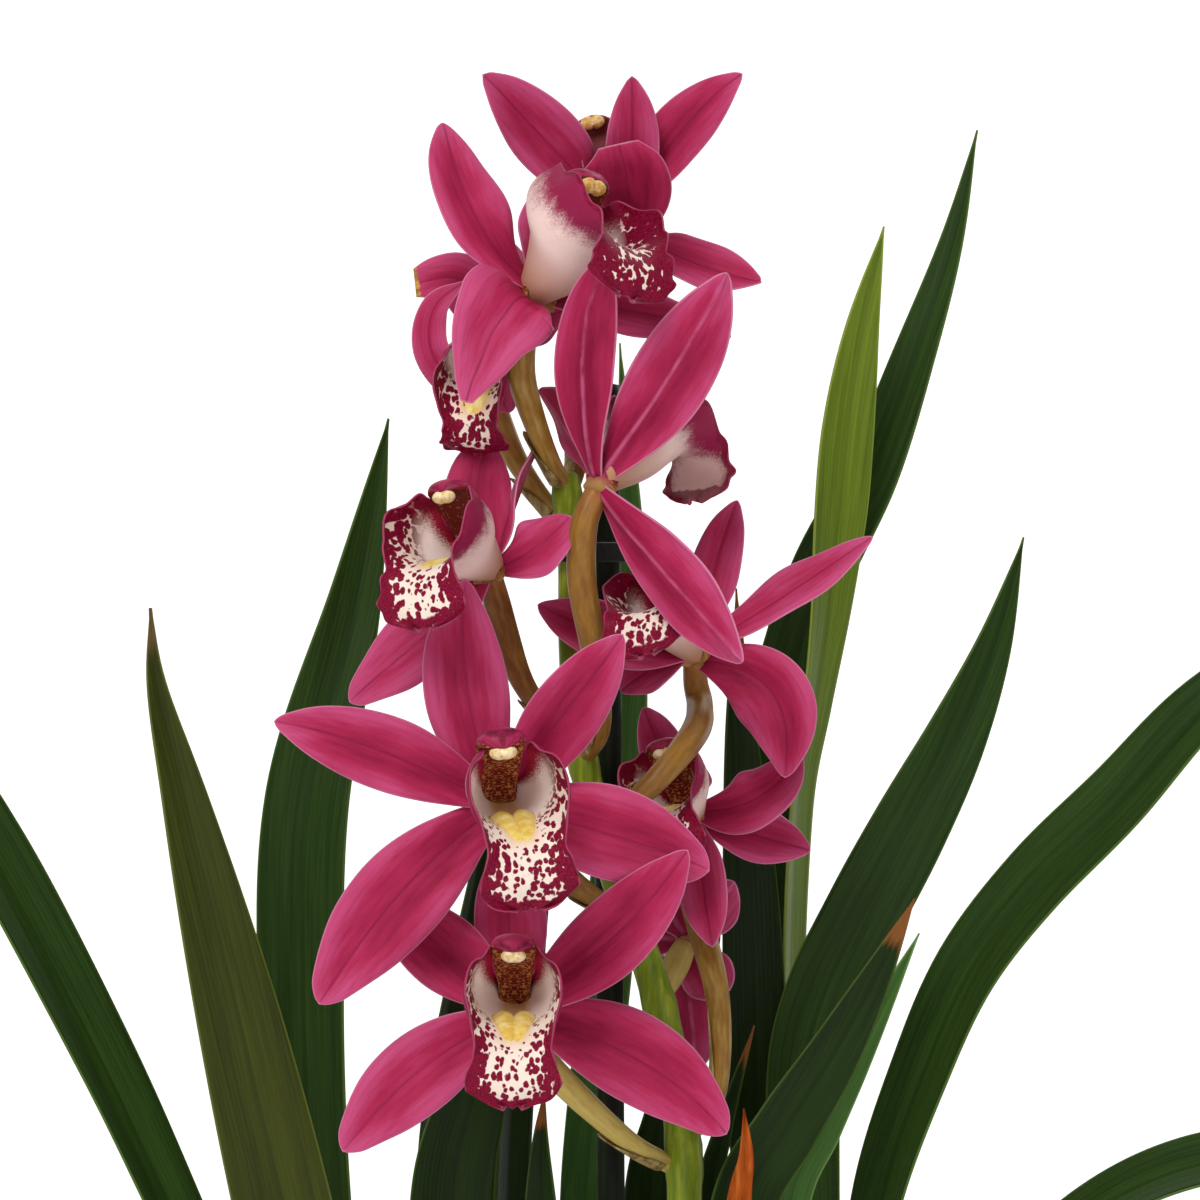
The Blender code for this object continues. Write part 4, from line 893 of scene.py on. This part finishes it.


# Flowers

# Each tepal: its tip from the hub, width, forward bow, sideways sway and, if it turns, the way it looks.
# A bent one has a route, the ways it looks and its widths. A tone from 0 to 1 picks a deeper or lighter
# tepal or stalk, and a less or more freckled lip or column. The tones set for single tepals are partly
# painted light and shade: deeper for tepals that lie in shade, lighter for ones that face the light.
# lipAs and columnAs place those parts on their own.
flowers = {
    "flower_01": dict(
        hub=(-16, -34, 334), faces=(0, -1, 0.1), top=(0, 0, 1), size=1.08, bluntSepals=True,
        stalk=[(23, -6, 294), (14, -15, 299.5), (4, -21, 308), (-7, -24, 319), (-14, -26, 328)],
        dorsalSepal=((-2, 13, 41), 18, 2, 0),
        leftPetal=((-33, 8, 27), 19, 3, 0),
        rightPetal=((42, -21, 40), 19, 2, -3),
        leftSepal=((-42, -6, -34), 20, 2, -3),
        rightSepal=((52, -4, -30), 22, 2, 5),
        lipAs=dict(hub=(-16, -34, 338.2), size=1.0), columnAs=dict(hub=(-16, -34, 338.2), size=1.0),
        tones=dict(rightPetal=0.2, leftPetal=0.25, leftSepal=0.72, rightSepal=0.38), lipTone=0.47,
        stalkTone=0.75),
    "flower_02": dict(
        hub=(-19.5, -40, 385), faces=(0.1, -1, 0.07), top=(-0.1, 0, 1), size=1.1, bluntSepals=True,
        stalk=[(12, 0, 357), (5, -10, 360), (-5, -20, 368), (-14, -29, 378)],
        dorsalSepal=((-8.5, 4, 55), 21, 2, 4),
        leftPetal=((-55, -8, 20.5), 18.5, 2, -2),
        rightPetal=((30, -12, 41.5), 18, 2, 0),
        leftSepal=((-44, -8, -48.5), 23, 2, -3),
        rightSepal=((51, -8, -16), 23, 2, 1.5),
        lipAs=dict(hub=(-19.5, -40, 387.6), faces=(0.15, -0.98, 0.08), size=1.03),
        columnAs=dict(hub=(-20.2, -40, 387.6)),
        tones=dict(rightPetal=0.22, dorsalSepal=0.72, leftSepal=0.62), lipTone=0.52),
    "flower_03": dict(
        hub=(-22.5, -22, 443), faces=(-0.45, -0.8, 0.4), top=(0, 0.3, 1), size=1.0, bluntSepals=True,
        stalk=[(-0.5, 0, 402), (-8, -4, 406), (-14.5, -9, 415), (-19, -12, 428)],
        dorsalSepal=((0, 17, 33), 18, 2, 3, (-0.2, -1, 0)),
        leftPetal=((-26, -2, 13), 19, 3, 0, (-0.3, -0.9, 0.4)),
        rightPetal=((10.5, 21, 31), 14, 2, 0, (-1, -0.2, 0.2)),
        leftSepal=((-35, 2, -33), 18, 2, 2, (-0.3, -1, 0.3)),
        rightSepal=((20, -2, 13), 16, 2, -3, (-0.2, -0.8, 0.4)),
        tones=dict(dorsalSepal=0.2, leftSepal=0.95), lipTone=0.54, columnTone=0.7, stalkTone=0.25),
    "flower_04": dict(
        hub=(-11, -16, 511), faces=(0.54, -0.54, 0.65), top=(-0.2, 0.68, 0.7), size=1.18, lipCurl=0.2,
        stalk=[(-3.6, 0, 463), (-7, -6, 469), (-11.5, -12, 480), (-14.5, -15, 491), (-14, -16, 501.5)],
        dorsalSepal=((-12, 36, 18), 17, 2, 0),
        leftPetal=((-22.5, 2, 43.5), 17.5, 2, 9, (0.35, -0.9, 0.2)),
        rightPetal=((4, 34, 28), 16, 2, 0),
        leftSepal=dict(  # folds over at its middle and hangs towards the front
            route=[(-10.5, -17, 509), (-12.3, -22.5, 511.5), (-14.8, -28.2, 511.2), (-17.9, -31.5, 506.8),
                   (-21.6, -33, 500.9), (-24.3, -34, 494), (-26.4, -34.5, 488.6), (-27.9, -34.5, 483.6)],
            faces=[(0.56, 0.13, 0.68), (0.5, -0.45, 0.7), (0.4, -0.8, 0.4), (0.1, -1, 0.1), (0, -1, 0.1)],
            widths=[7, 16, 23.5, 25.5, 23.5, 19.5, 15, 9.5, 3]),
        rightSepal=((49, 8, -10), 14, 2, 0, (0, -0.8, 0.5)),
        lipAs=dict(size=1.08, faces=(0.58, -0.5, 0.64)), lipSwell=1.4,
        tones=dict(leftSepal=1.0, leftPetal=0.55), lipTone=0.72, columnTone=0.7, capTone=0.3),
    "flower_05": dict(
        hub=(10.5, 15, 530), faces=(-0.38, 0.36, 0.85), top=(0, -0.88, 0.42), size=0.85, lipCurl=0.5,
        stalk=[(-3.5, 0, 461), (-1, 9, 468), (-0.5, 15, 480), (2, 16, 498), (7, 13, 517)],
        dorsalSepal=((2.5, -13, 36), 13.5, -2, 0, (0, -1, 0)),
        leftPetal=((-34, -19, 36), 18, 2, 0, (0.1, -1, 0.2)),
        rightPetal=((30, -10, 37), 15, 2, -3, (-0.2, -1, 0.1)),
        leftSepal=dict(
            route=[(10.5, 13, 528), (11, 4, 531), (11.5, -3, 536), (10.8, -6, 543), (9.6, -6.5, 548.6)],
            faces=[(0, -0.8, 0.6), (0, -1, 0), (0.05, -1, -0.1)], widths=[6, 12, 17, 21, 23, 22.5, 19, 10]),
        rightSepal=((35, -2, -15), 14, 2, 5, (-0.1, -0.8, 0.5)),
        columnAs=dict(hub=(8.2, 13, 530), faces=(-0.20, -0.12, 0.97), top=(0, 1, 0.1), size=1.0),
        tones=dict(leftPetal=0.75, rightPetal=0.2, leftSepal=0.1), lipTone=0.7, columnTone=0.85, capTone=0.3),
    "flower_06": dict(
        hub=(5, -25, 464), faces=(0.7, 0.6, 0.4), top=(-0.3, -0.2, 0.9), size=1.0, lipCurl=0.6,
        stalk=[(0.5, 0, 395), (5, -9, 402), (5, -15, 412), (3, -20, 425), (0.5, -24, 440), (1, -26, 453)],
        dorsalSepal=((3.4, -25, 55.6), 16, 2, -8.5, (0.3, 0.95, 0)),
        leftPetal=((31, -20, 51), 20, 3, 0, (0.1, 1, 0.2)),
        rightPetal=((-14, 24, 24), 15, 2, 0),
        leftSepal=((36, -36, -44), 18, 2, 3, (0.3, 0.9, 0.3)),
        rightSepal=((14, 24, -16), 13, 2, 0),
        lipAs=dict(faces=(0.52, 0.6, 0.61)), tones=dict(dorsalSepal=0.1), lipTone=0.78),
    "flower_07": dict(
        hub=(28.5, 0, 422), faces=(-0.42, -0.6, 0.67), top=(0, 0.68, 0.74), size=0.92,
        stalk=[(5, 0, 378), (5, -15, 380), (13, -26, 385), (23, -24, 395), (29, -11, 403), (30, 2, 408.5),
               (29, 4.5, 414)],
        dorsalSepal=((11, 10, 38), 13, 2, 0, (-0.2, -1, 0.1)),
        leftPetal=((-19, 3, -10), 12, 2, 0, (0, -0.9, 0.5)),
        rightPetal=((44.5, -2, 29), 13, 2, -2, (-0.3, -0.8, 0.6)),
        leftSepal=((-39, -8, 12), 16, 2, 4, (0, -1, 0.3)),
        rightSepal=((22, -12, -31), 20, 3, 9, (-0.3, -1, 0.2)),
        tones=dict(rightPetal=0.75), lipTone=0.6),
    "flower_08": dict(
        hub=(28, 14, 381), faces=(-0.3, -0.85, 0.43), top=(-0.1, 0.4, 0.9), size=0.88, lipTone=0.6,
        stalk=[(25.5, -5, 300), (33, -9, 309), (35, -12, 322), (34, -6, 338), (30, 7, 354), (27, 19, 367)],
        dorsalSepal=((-2, 25, 11), 14, 2, 0),
        leftPetal=((-12, 10, 27), 12, 2, 0),
        rightPetal=((27, -6, 16), 17, 2, -6),
        leftSepal=((5, -27, -32), 13, 2, 0),
        rightSepal=((30, 0, -9), 15, 2, 0)),
    "flower_09": dict(
        hub=(-23, 0, 500), faces=(-0.2, -0.86, -0.47), top=(-0.1, -0.5, 0.85), size=0.74, bluntSepals=True,
        stalk=[(-3, 0, 453.5), (-9, 6, 460), (-17, 11, 472), (-23, 13, 488)],
        dorsalSepal=((2, 20, 26), 15, 2, 0),
        leftPetal=dict(
            route=[(-23, 1, 500), (-25, 3, 509), (-31, 4, 516), (-41.5, 4, 515)],
            faces=[(-0.2, -0.9, 0.3), (0, -0.95, 0.2), (-0.2, -0.9, 0.2)],
            widths=[4, 9, 13, 14.5, 14, 12.5, 10.5, 7.5]),
        rightPetal=((20, 4, 8), 12, 2, 0),
        leftSepal=dict(
            route=[(-23, -1, 500), (-25.5, -4, 491.5), (-32, -5, 490.5), (-37.4, -6, 498), (-36.5, -6, 508),
                   (-29, -5, 515)],
            faces=[(-0.2, -0.9, -0.3), (-0.3, -0.9, 0.1), (-0.5, -0.85, 0.1)],
            widths=[4, 8, 10, 10, 9.4, 8.2, 6, 1]),
        rightSepal=((5, 3, -19), 10, 2, 0),
        dryTip="leftPetal", tones=dict(dorsalSepal=0.8), lipTone=0.66),
    "flower_10": dict(
        hub=(27, 19, 349), faces=(0, 0.95, 0.05), top=(0, 0.1, 1), size=0.7, lipCurl=0.5,
        stalk=[(19, -2, 335), (20, 4, 336), (22.5, 10, 340)],
        dorsalSepal=((-15, 10, 26), 14, 2, 0),
        leftPetal=((12, 6, 15), 14, 2, 0),
        rightPetal=((-28, 8, 4), 15, 2, 0),
        leftSepal=((9, -5, -15), 14, 2, 0),
        rightSepal=((2, 8, -34), 16, 2, 0),
        lipTone=0.6, stalkTone=0.75),
}
tepalNames = dict(dorsalSepal="dorsal_sepal", leftPetal="left_petal", rightPetal="right_petal",
                  leftSepal="left_sepal", rightSepal="right_sepal")
tepalShape = dict(  # the shares of the width along a tepal, to a pointed or a blunt tip, and then mm
    widths=[0.26, 0.58, 0.84, 0.985, 0.99, 0.87, 0.60], pointed=(0.13, 0.965), blunt=(0.26, 0.93),
    fold=0.20, roll=0.16, thickness=1.1, rim=0.36, wave=0.8, hook=1.6)


def flowerFrame(flower):  # forward, up and to the right as seen from its front
    forward = unit(flower["faces"])
    up = squareTo(np.array(flower["top"], float), forward)
    return forward, up, np.cross(up, forward)


def inFlower(flower, a, b, c):  # points at distances forward, up and to the right of the hub
    forward, up, right = flowerFrame(flower)
    hub = np.array(flower["hub"], float)
    return hub + (forward * a[..., None] + up * b[..., None] + right * c[..., None]) * flower["size"]


def tepalLine(flower, key, s):  # centre line, face directions and half widths
    tepal = flower[key]
    if isinstance(tepal, dict):
        points = along(evenPoints(tepal["route"], len(s)), s)
        return points, turnedFaces(tangents(points), along(tepal["faces"], s)), along(tepal["widths"], s) / 2
    tip, width, bow, sway, *look = tepal
    forward = flowerFrame(flower)[0]
    hub = np.array(flower["hub"], float)
    direction = unit(tip)
    face = squareTo(forward, direction)
    start, end = hub + direction * 1.6 + forward * (-0.9 if "Sepal" in key else 0.5), hub + tip
    bend = (start + end) / 2 + (face * bow + np.cross(face, direction) * sway) * 2
    points = (start * ((1 - s) ** 2)[:, None] + bend * (2 * s * (1 - s))[:, None] + end * (s**2)[:, None])
    turn = smoothStep(s / 0.4)[:, None]
    faces = turnedFaces(tangents(points), face * (1 - turn) + unit(look[0] if look else face) * turn)
    blunt = flower.get("bluntSepals") and key in ("leftSepal", "rightSepal")
    last, closing = tepalShape["blunt" if blunt else "pointed"]
    close = (np.clip(s - closing, 0, 1) / (1.0005 - closing)) ** 2
    close = np.sqrt(np.clip(1 - close, 0.01, 1))  # rounds the tip off
    return points, faces, width * along(tepalShape["widths"] + [last], s) * close / 2


def tepalBody(flower, key, name):
    rows, cols = 50, 23
    rng = random.Random(name)
    s, v = 1 - (1 - np.linspace(0, 1, rows)) ** 1.35, np.linspace(-1, 1, cols)
    points, faces, half = tepalLine(flower, key, s)
    side = np.cross(faces, tangents(points))
    lean = 0.05 * np.sin(s * rng.uniform(2.5, 4.5) + rng.uniform(0, 6))  # one side is a little fuller
    reach = half[:, None] * (v[None, :] + lean[:, None] * (1 - v[None, :] ** 2))
    lift = -tepalShape["fold"] * half[:, None] * (1 - np.abs(v)[None, :] ** 1.7)
    lift = lift - tepalShape["roll"] * half[:, None] * np.clip((np.abs(v) - 0.6) / 0.4, 0, 1)[None, :] ** 2
    lift = lift - 0.3 * np.exp(-(v / 0.07) ** 2)[None, :] * np.minimum(1, half / 4)[:, None]
    for sign in (-1, 1):
        rate, phase = rng.uniform(1.3, 2.2), rng.uniform(0, 6.28)
        ripple = np.sin(s * rate * 2 * np.pi + phase) * np.sin(np.pi * s) ** 0.7
        lift = lift + tepalShape["wave"] * ripple[:, None] * (np.clip(v * sign, 0, 1) ** 2)[None, :]
    hook = tepalShape["hook"] * (np.clip(s - 0.8, 0, 1) / 0.2) ** 2 * rng.uniform(-0.2, 1.0)
    lift = lift - hook[:, None]
    grid = points[:, None] + side[:, None] * reach[..., None] + faces[:, None] * lift[..., None]
    rim = tepalShape["rim"]
    thick = (rim + (tepalShape["thickness"] - rim) * (1 - np.abs(v) ** 1.3))[None, :]
    return shell(grid, thick * np.minimum(1, 0.3 + half / 4)[:, None])


columnShape = dict(  # forward and up along the column, half width, and height above and below the line
    line=[(-1.5, -1.8), (4.5, 2.0), (11, 5.6), (17.5, 8.8), (22, 10.3), (24.8, 10.1), (26.4, 9.0)],
    wide=[4.2, 4.0, 4.7, 5.3, 5.6, 4.9, 2.0], high=[3.8, 3.0, 3.1, 3.5, 3.4, 2.5, 0.8],
    low=[4.4, 2.8, 1.9, 1.9, 1.8, 1.4, 0.5])
capShape = dict(at=(25.2, 7.9), radii=(2.0, 3.1, 1.75))


def columnBody(flower):
    rings, sides = 30, 36
    s = np.linspace(0, 1, rings)
    line = along(columnShape["line"], s)
    ahead = np.gradient(line, axis=0)
    ahead /= np.linalg.norm(ahead, axis=1)[:, None]
    rise = np.stack([-ahead[:, 1], ahead[:, 0]], 1)
    wide, high, low = (along(columnShape[k], s)[:, None] for k in ("wide", "high", "low"))
    turn = np.linspace(-np.pi / 2, 1.5 * np.pi, sides, endpoint=False)[None, :]  # starts under the column
    sine, cosine = np.sin(turn), np.cos(turn)
    under = -low * np.abs(sine) ** 0.5 * (1 - 0.75 * sine**2)
    height = np.where(sine > 0, high * sine, under)
    reach = wide * np.sign(cosine) * np.abs(cosine) ** 0.85
    a = line[:, :1] + rise[:, :1] * height
    b = line[:, 1:] + rise[:, 1:] * height
    return closedTube(inFlower(flower | flower.get("columnAs", {}), a, b, reach), 0.35)


def capBody(flower):  # the anther cap: two rounded lobes with a groove between them
    deep, wide, high = capShape["radii"]
    rise = np.linspace(-1.45, 1.45, 20)[:, None]
    turn = fullTurn(32)[None, :]
    x = wide * np.cos(rise) * np.cos(turn)
    lobes = 1 - 0.28 * np.exp(-(x / 0.7) ** 2)
    y = deep * np.cos(rise) * np.sin(turn) * lobes
    z = high * np.sin(rise) * (1 - 0.12 * np.exp(-(x / 0.7) ** 2)) + 0 * turn
    ahead, above = capShape["at"]
    grid = inFlower(flower | flower.get("columnAs", {}), ahead + y, above + z, x)
    return closedTube(grid[:, ::-1], 0.5)


lipShape = dict(
    line=[(-1.3, -2.0), (11.5, -7.4), (20, -9), (27, -11), (32, -16), (32.5, -23), (28.5, -29)],
    curled=[(-1.3, -2.0), (11.5, -7.4), (20, -9), (26.5, -10.5), (30, -15), (27, -20), (21, -21)],
    # half width, depth, and how far round the sides rise, in degrees, at even shares of the lip
    trough=[(3.2, 4.0, 104), (5.8, 6.6, 124), (8.0, 8.6, 140), (9.6, 9.6, 150), (10.3, 10.2, 148),
            (10.6, 10.4, 134), (10.8, 9.4, 112), (9.9, 7.0, 90), (9.3, 4.4, 78), (10.3, 1.8, 80),
            (11.4, -0.2, 86), (11.2, -1.4, 88), (8.6, -2.0, 80)],
    thickness=0.9, ruffle=0.8, flare=1.6)


def lipSurface(flower, u, v, seed="lip"):
    rng = random.Random(seed)
    curl, swell = flower.get("lipCurl", 0), flower.get("lipSwell", 1.0)
    bent = np.array(lipShape["line"], float) * (1 - curl) + np.array(lipShape["curled"], float) * curl
    here = along(bent, u)
    ahead = along(bent, np.minimum(u + 0.01, 1)) - along(bent, np.maximum(u - 0.01, 0))
    ahead /= np.linalg.norm(ahead, axis=1)[:, None]
    rise = np.stack([-ahead[:, 1], ahead[:, 0]], 1)
    half, depth, reach = along(lipShape["trough"], u).T
    puff = 1 + (swell - 1) * hump(u, 0.24, 0.2)[:, None] * (1 - smoothStep((v + 0.1) / 0.4))[None, :]
    close = np.sqrt(np.clip(1 - (np.clip(u - 0.88, 0, 1) / 0.125) ** 2, 0.02, 1))  # rounds the end off
    angle = np.radians(reach * close)[:, None] * v[None, :]
    up = depth[:, None] * (1 - np.cos(angle)) * puff
    side = half[:, None] * np.sin(angle) * puff
    strong = np.abs(v)[None, :]
    flare = lipShape["flare"] * (hump(u, 0.47, 0.07) + 0.35 * hump(u, 0.78, 0.08))[:, None] * strong**4
    side = side + np.sign(v)[None, :] * flare
    up = up - 0.4 * flare
    margin = smoothStep((u - 0.22) / 0.15)[:, None] * strong**5
    end = smoothStep((u - 0.82) / 0.18)[:, None]
    for sign in (-1, 1):
        beats, phase = rng.uniform(7, 9), rng.uniform(0, 6.28)
        wave = np.sin(u * beats * 2 * np.pi + phase)[:, None] * (v[None, :] * sign > 0)
        up = up + lipShape["ruffle"] * wave * margin
    up = up + 0.55 * np.sin(v * 9 + rng.uniform(0, 6))[None, :] * end
    a = here[:, :1] + rise[:, :1] * up
    b = here[:, 1:] + rise[:, 1:] * up
    return a, b, side


def lipBody(flower, name):
    rows, cols = 76, 61
    a, b, c = lipSurface(flower, np.linspace(0, 1, rows), np.linspace(-1, 1, cols), name)
    grid = inFlower(flower | flower.get("lipAs", {}), a + 0 * c, b + 0 * c, c)
    thin = 1 - 0.5 * np.abs(np.linspace(-1, 1, cols)) ** 5
    return shell(grid, lipShape["thickness"] * thin[None, :] * np.ones((rows, 1)))


keels = dict(start=0.15, end=0.58, tall=4.9, low=0.6, wide=3.3, apart=3.0)  # shares of the lip, then mm


def keelBody(flower):
    # Two tall ridges side by side on the lip's floor, lower and closer together in front.
    parts, rings, sides = [], 30, 24
    s = np.linspace(0, 1, rings)
    turn = fullTurn(sides)[None, :]
    u = keels["start"] + (keels["end"] - keels["start"]) * s
    a, b, _ = lipSurface(flower, u, np.array([0.0]))
    half, depth, _ = along(lipShape["trough"], u).T[:, :, None]
    rounding = np.sqrt(np.clip(1 - (2 * s - 1) ** 4, 0.03, 1))[:, None]
    tall = (keels["low"] + (keels["tall"] - keels["low"]) * (1 - s[:, None]) ** 1.2) * rounding
    wide = keels["wide"] * (1 - 0.5 * s[:, None] ** 1.3) * rounding
    for sign in (-1, 1):
        out = sign * keels["apart"] * (1 - 0.68 * s[:, None] ** 1.1) + wide * np.cos(turn)
        floor = depth * (1 - np.sqrt(np.clip(1 - (out / half) ** 2, 0.05, 1)))
        crest = np.abs(np.sin(turn)) ** 0.8 * tall * (1 - 0.10 * np.abs(out) / keels["apart"])
        lift = np.where(np.sin(turn) > 0, np.maximum(crest, floor + 0.2), floor - 0.05)
        ridge = inFlower(flower | flower.get("lipAs", {}), a + 0 * lift, b + lift, out)
        parts.append(closedTube(ridge[:, ::-1], 0.3))
    return joined(parts)


stalkShape = dict(radii=[2.3, 2.4, 2.9, 3.4, 3.5, 2.9], ribs=6, ribDepth=0.035)
bractShape = dict(rings=16, spread=1.9, radius=2.75, flare=0.9, thickness=0.35)  # spread in radians


def makeStalk(name, flower):
    rng = random.Random(name)
    hub = np.array(flower["hub"], float)
    route = flower["stalk"] + [hub + unit(flower["stalk"][-1] - hub) * 2.5]
    grid = tubeGrid(route, rings=52, sides=24, **stalkShape)
    makePiece(name + "_ovary", closedTube(grid, 0.4), stalk, [name + "_stalk"],
              flower.get("stalkTone", rng.uniform(0.35, 0.6)))
    s, v = np.linspace(0, 1, bractShape["rings"]), np.linspace(-1, 1, 15)
    centres = grid[4:4 + len(s)].mean(axis=1)
    lines = tangents(centres)
    side = squareTo(np.array([0.3, 1, 0.1]), lines[0])
    down = -np.cross(side, lines[0])
    spread = (bractShape["spread"] * (1 - 0.9 * s**1.6))[:, None] * v[None, :]
    reach = (bractShape["radius"] + bractShape["flare"] * s**2)[:, None]
    sheet = (centres[:, None] + (down * np.cos(spread)[..., None] + side * np.sin(spread)[..., None])
             * reach[..., None])
    makePiece(name + "_bract", shell(sheet[:, ::-1], bractShape["thickness"]), bract, [name + "_stalk"],
              rng.uniform(0.35, 0.65))


toneDrift = dict(tepal=0.08, lip=0.02)  # how far tones stray from piece to piece


def drift(name, most):
    return random.Random(name).uniform(-most, most)


makeScape([flower["stalk"][0][2] - 1 for flower in flowers.values()])
for name, flower in flowers.items():
    for key, label in tepalNames.items():
        piece = name + "_" + label
        skin = worn if key == flower.get("dryTip") else petal
        # A tepal's set tone is partly painted light and shade: deeper for tepals in shade, lighter for ones
        # facing the light.
        makePiece(piece, tepalBody(flower, key, piece), skin, [name + "_petals"],
                  flower.get("tones", {}).get(key, 0.5) + drift(piece, toneDrift["tepal"]))
    makePiece(name + "_column", columnBody(flower), column, [name + "_petals"],
              flower.get("columnTone", 0.5))
    makePiece(name + "_anther_cap", capBody(flower), cap, [name + "_petals"],
              flower.get("capTone", 0.6))
    makePiece(name + "_lip_blade", lipBody(flower, name), lip, [name + "_lip"],
              flower["lipTone"] + drift(name, toneDrift["lip"]))
    makePiece(name + "_lip_keels", keelBody(flower), keel, [name + "_lip"], 0.5)
    makeStalk(name, flower)
print("flowers made:", len(flowers))


# Studio: a white sweep, soft light and the camera

studio = dict(
    paper="#FFFFFF", world=0.40, glow=0.75, backdrop=(5.8, -1.5, 10.0), floorEnd=3.4,
    camera=(0.005, -2.0, 0.435), lens=240.0)
lights = {  # power in watts, size and place in metres; each points at the middle of the plant
    "key_softbox": (30.0, 1.0, (-0.6, -1.5, 1.9)),
    "fill_softbox": (9.0, 1.4, (0.7, -2.3, 0.45)),
    "rim_softbox": (5.0, 0.8, (0.9, 1.0, 1.5)),
}
plantMiddle = (0, 0, 0.4)


def makeSheet(name, look, glow, profile):  # a flat sheet of paper, wider than it is far away
    white = colour(studio["paper"])
    drop = 0.0005  # the floor lies half a millimetre below the pot's foot
    made = newMaterial(look, Roughness=0.95, IOR=1.3, Specular_IOR_Level=0.05, Base_Color=white,
                       Emission_Color=white, Emission_Strength=glow)[0]
    half = 1.5 * studio["backdrop"][0]
    points = [(x, y, z - drop) for y, z in profile for x in (-half, half)]
    mesh = bpy.data.meshes.new(name)
    mesh.from_pydata(points, [], [(0, 1, 3, 2)])
    mesh.materials.append(made)
    sheet = bpy.data.objects.new(name, mesh)
    bpy.context.scene.collection.objects.link(sheet)


def makeLight(name, energy, size, at):
    light = bpy.data.lights.new(name, "AREA")
    light.energy = energy
    light.size = size
    lamp = bpy.data.objects.new(name, light)
    lamp.location = at
    lamp.rotation_euler = (Vector(plantMiddle) - Vector(at)).to_track_quat("-Z", "Y").to_euler()
    bpy.context.scene.collection.objects.link(lamp)


far, under, tall = studio["backdrop"]
# Paper, matt white: the backdrop glows a little so that it stays plain white behind the plant.
makeSheet("studio_floor", "mattPaperSweep", 0.0, [(-far, 0.0), (studio["floorEnd"], 0.0)])
makeSheet("studio_backdrop", "glowingPaperSweep", studio["glow"], [(far, under), (far, tall)])
for name, settings in lights.items():
    makeLight(name, *settings)
world = bpy.data.worlds.new("softWhiteRoom")
world.use_nodes = True
world.node_tree.nodes["Background"].inputs["Color"].default_value = (1, 1, 1, 1)
world.node_tree.nodes["Background"].inputs["Strength"].default_value = studio["world"]
bpy.context.scene.world = world
bpy.context.scene.view_settings.view_transform = "Standard"

lens = bpy.data.cameras.new("main_camera")
lens.lens = studio["lens"]
lens.sensor_width = 36
camera = bpy.data.objects.new("main_camera", lens)
camera.location = studio["camera"]
camera.rotation_euler = (math.pi / 2, 0, 0)
bpy.context.scene.collection.objects.link(camera)
bpy.context.scene.camera = camera
print("studio and camera made")
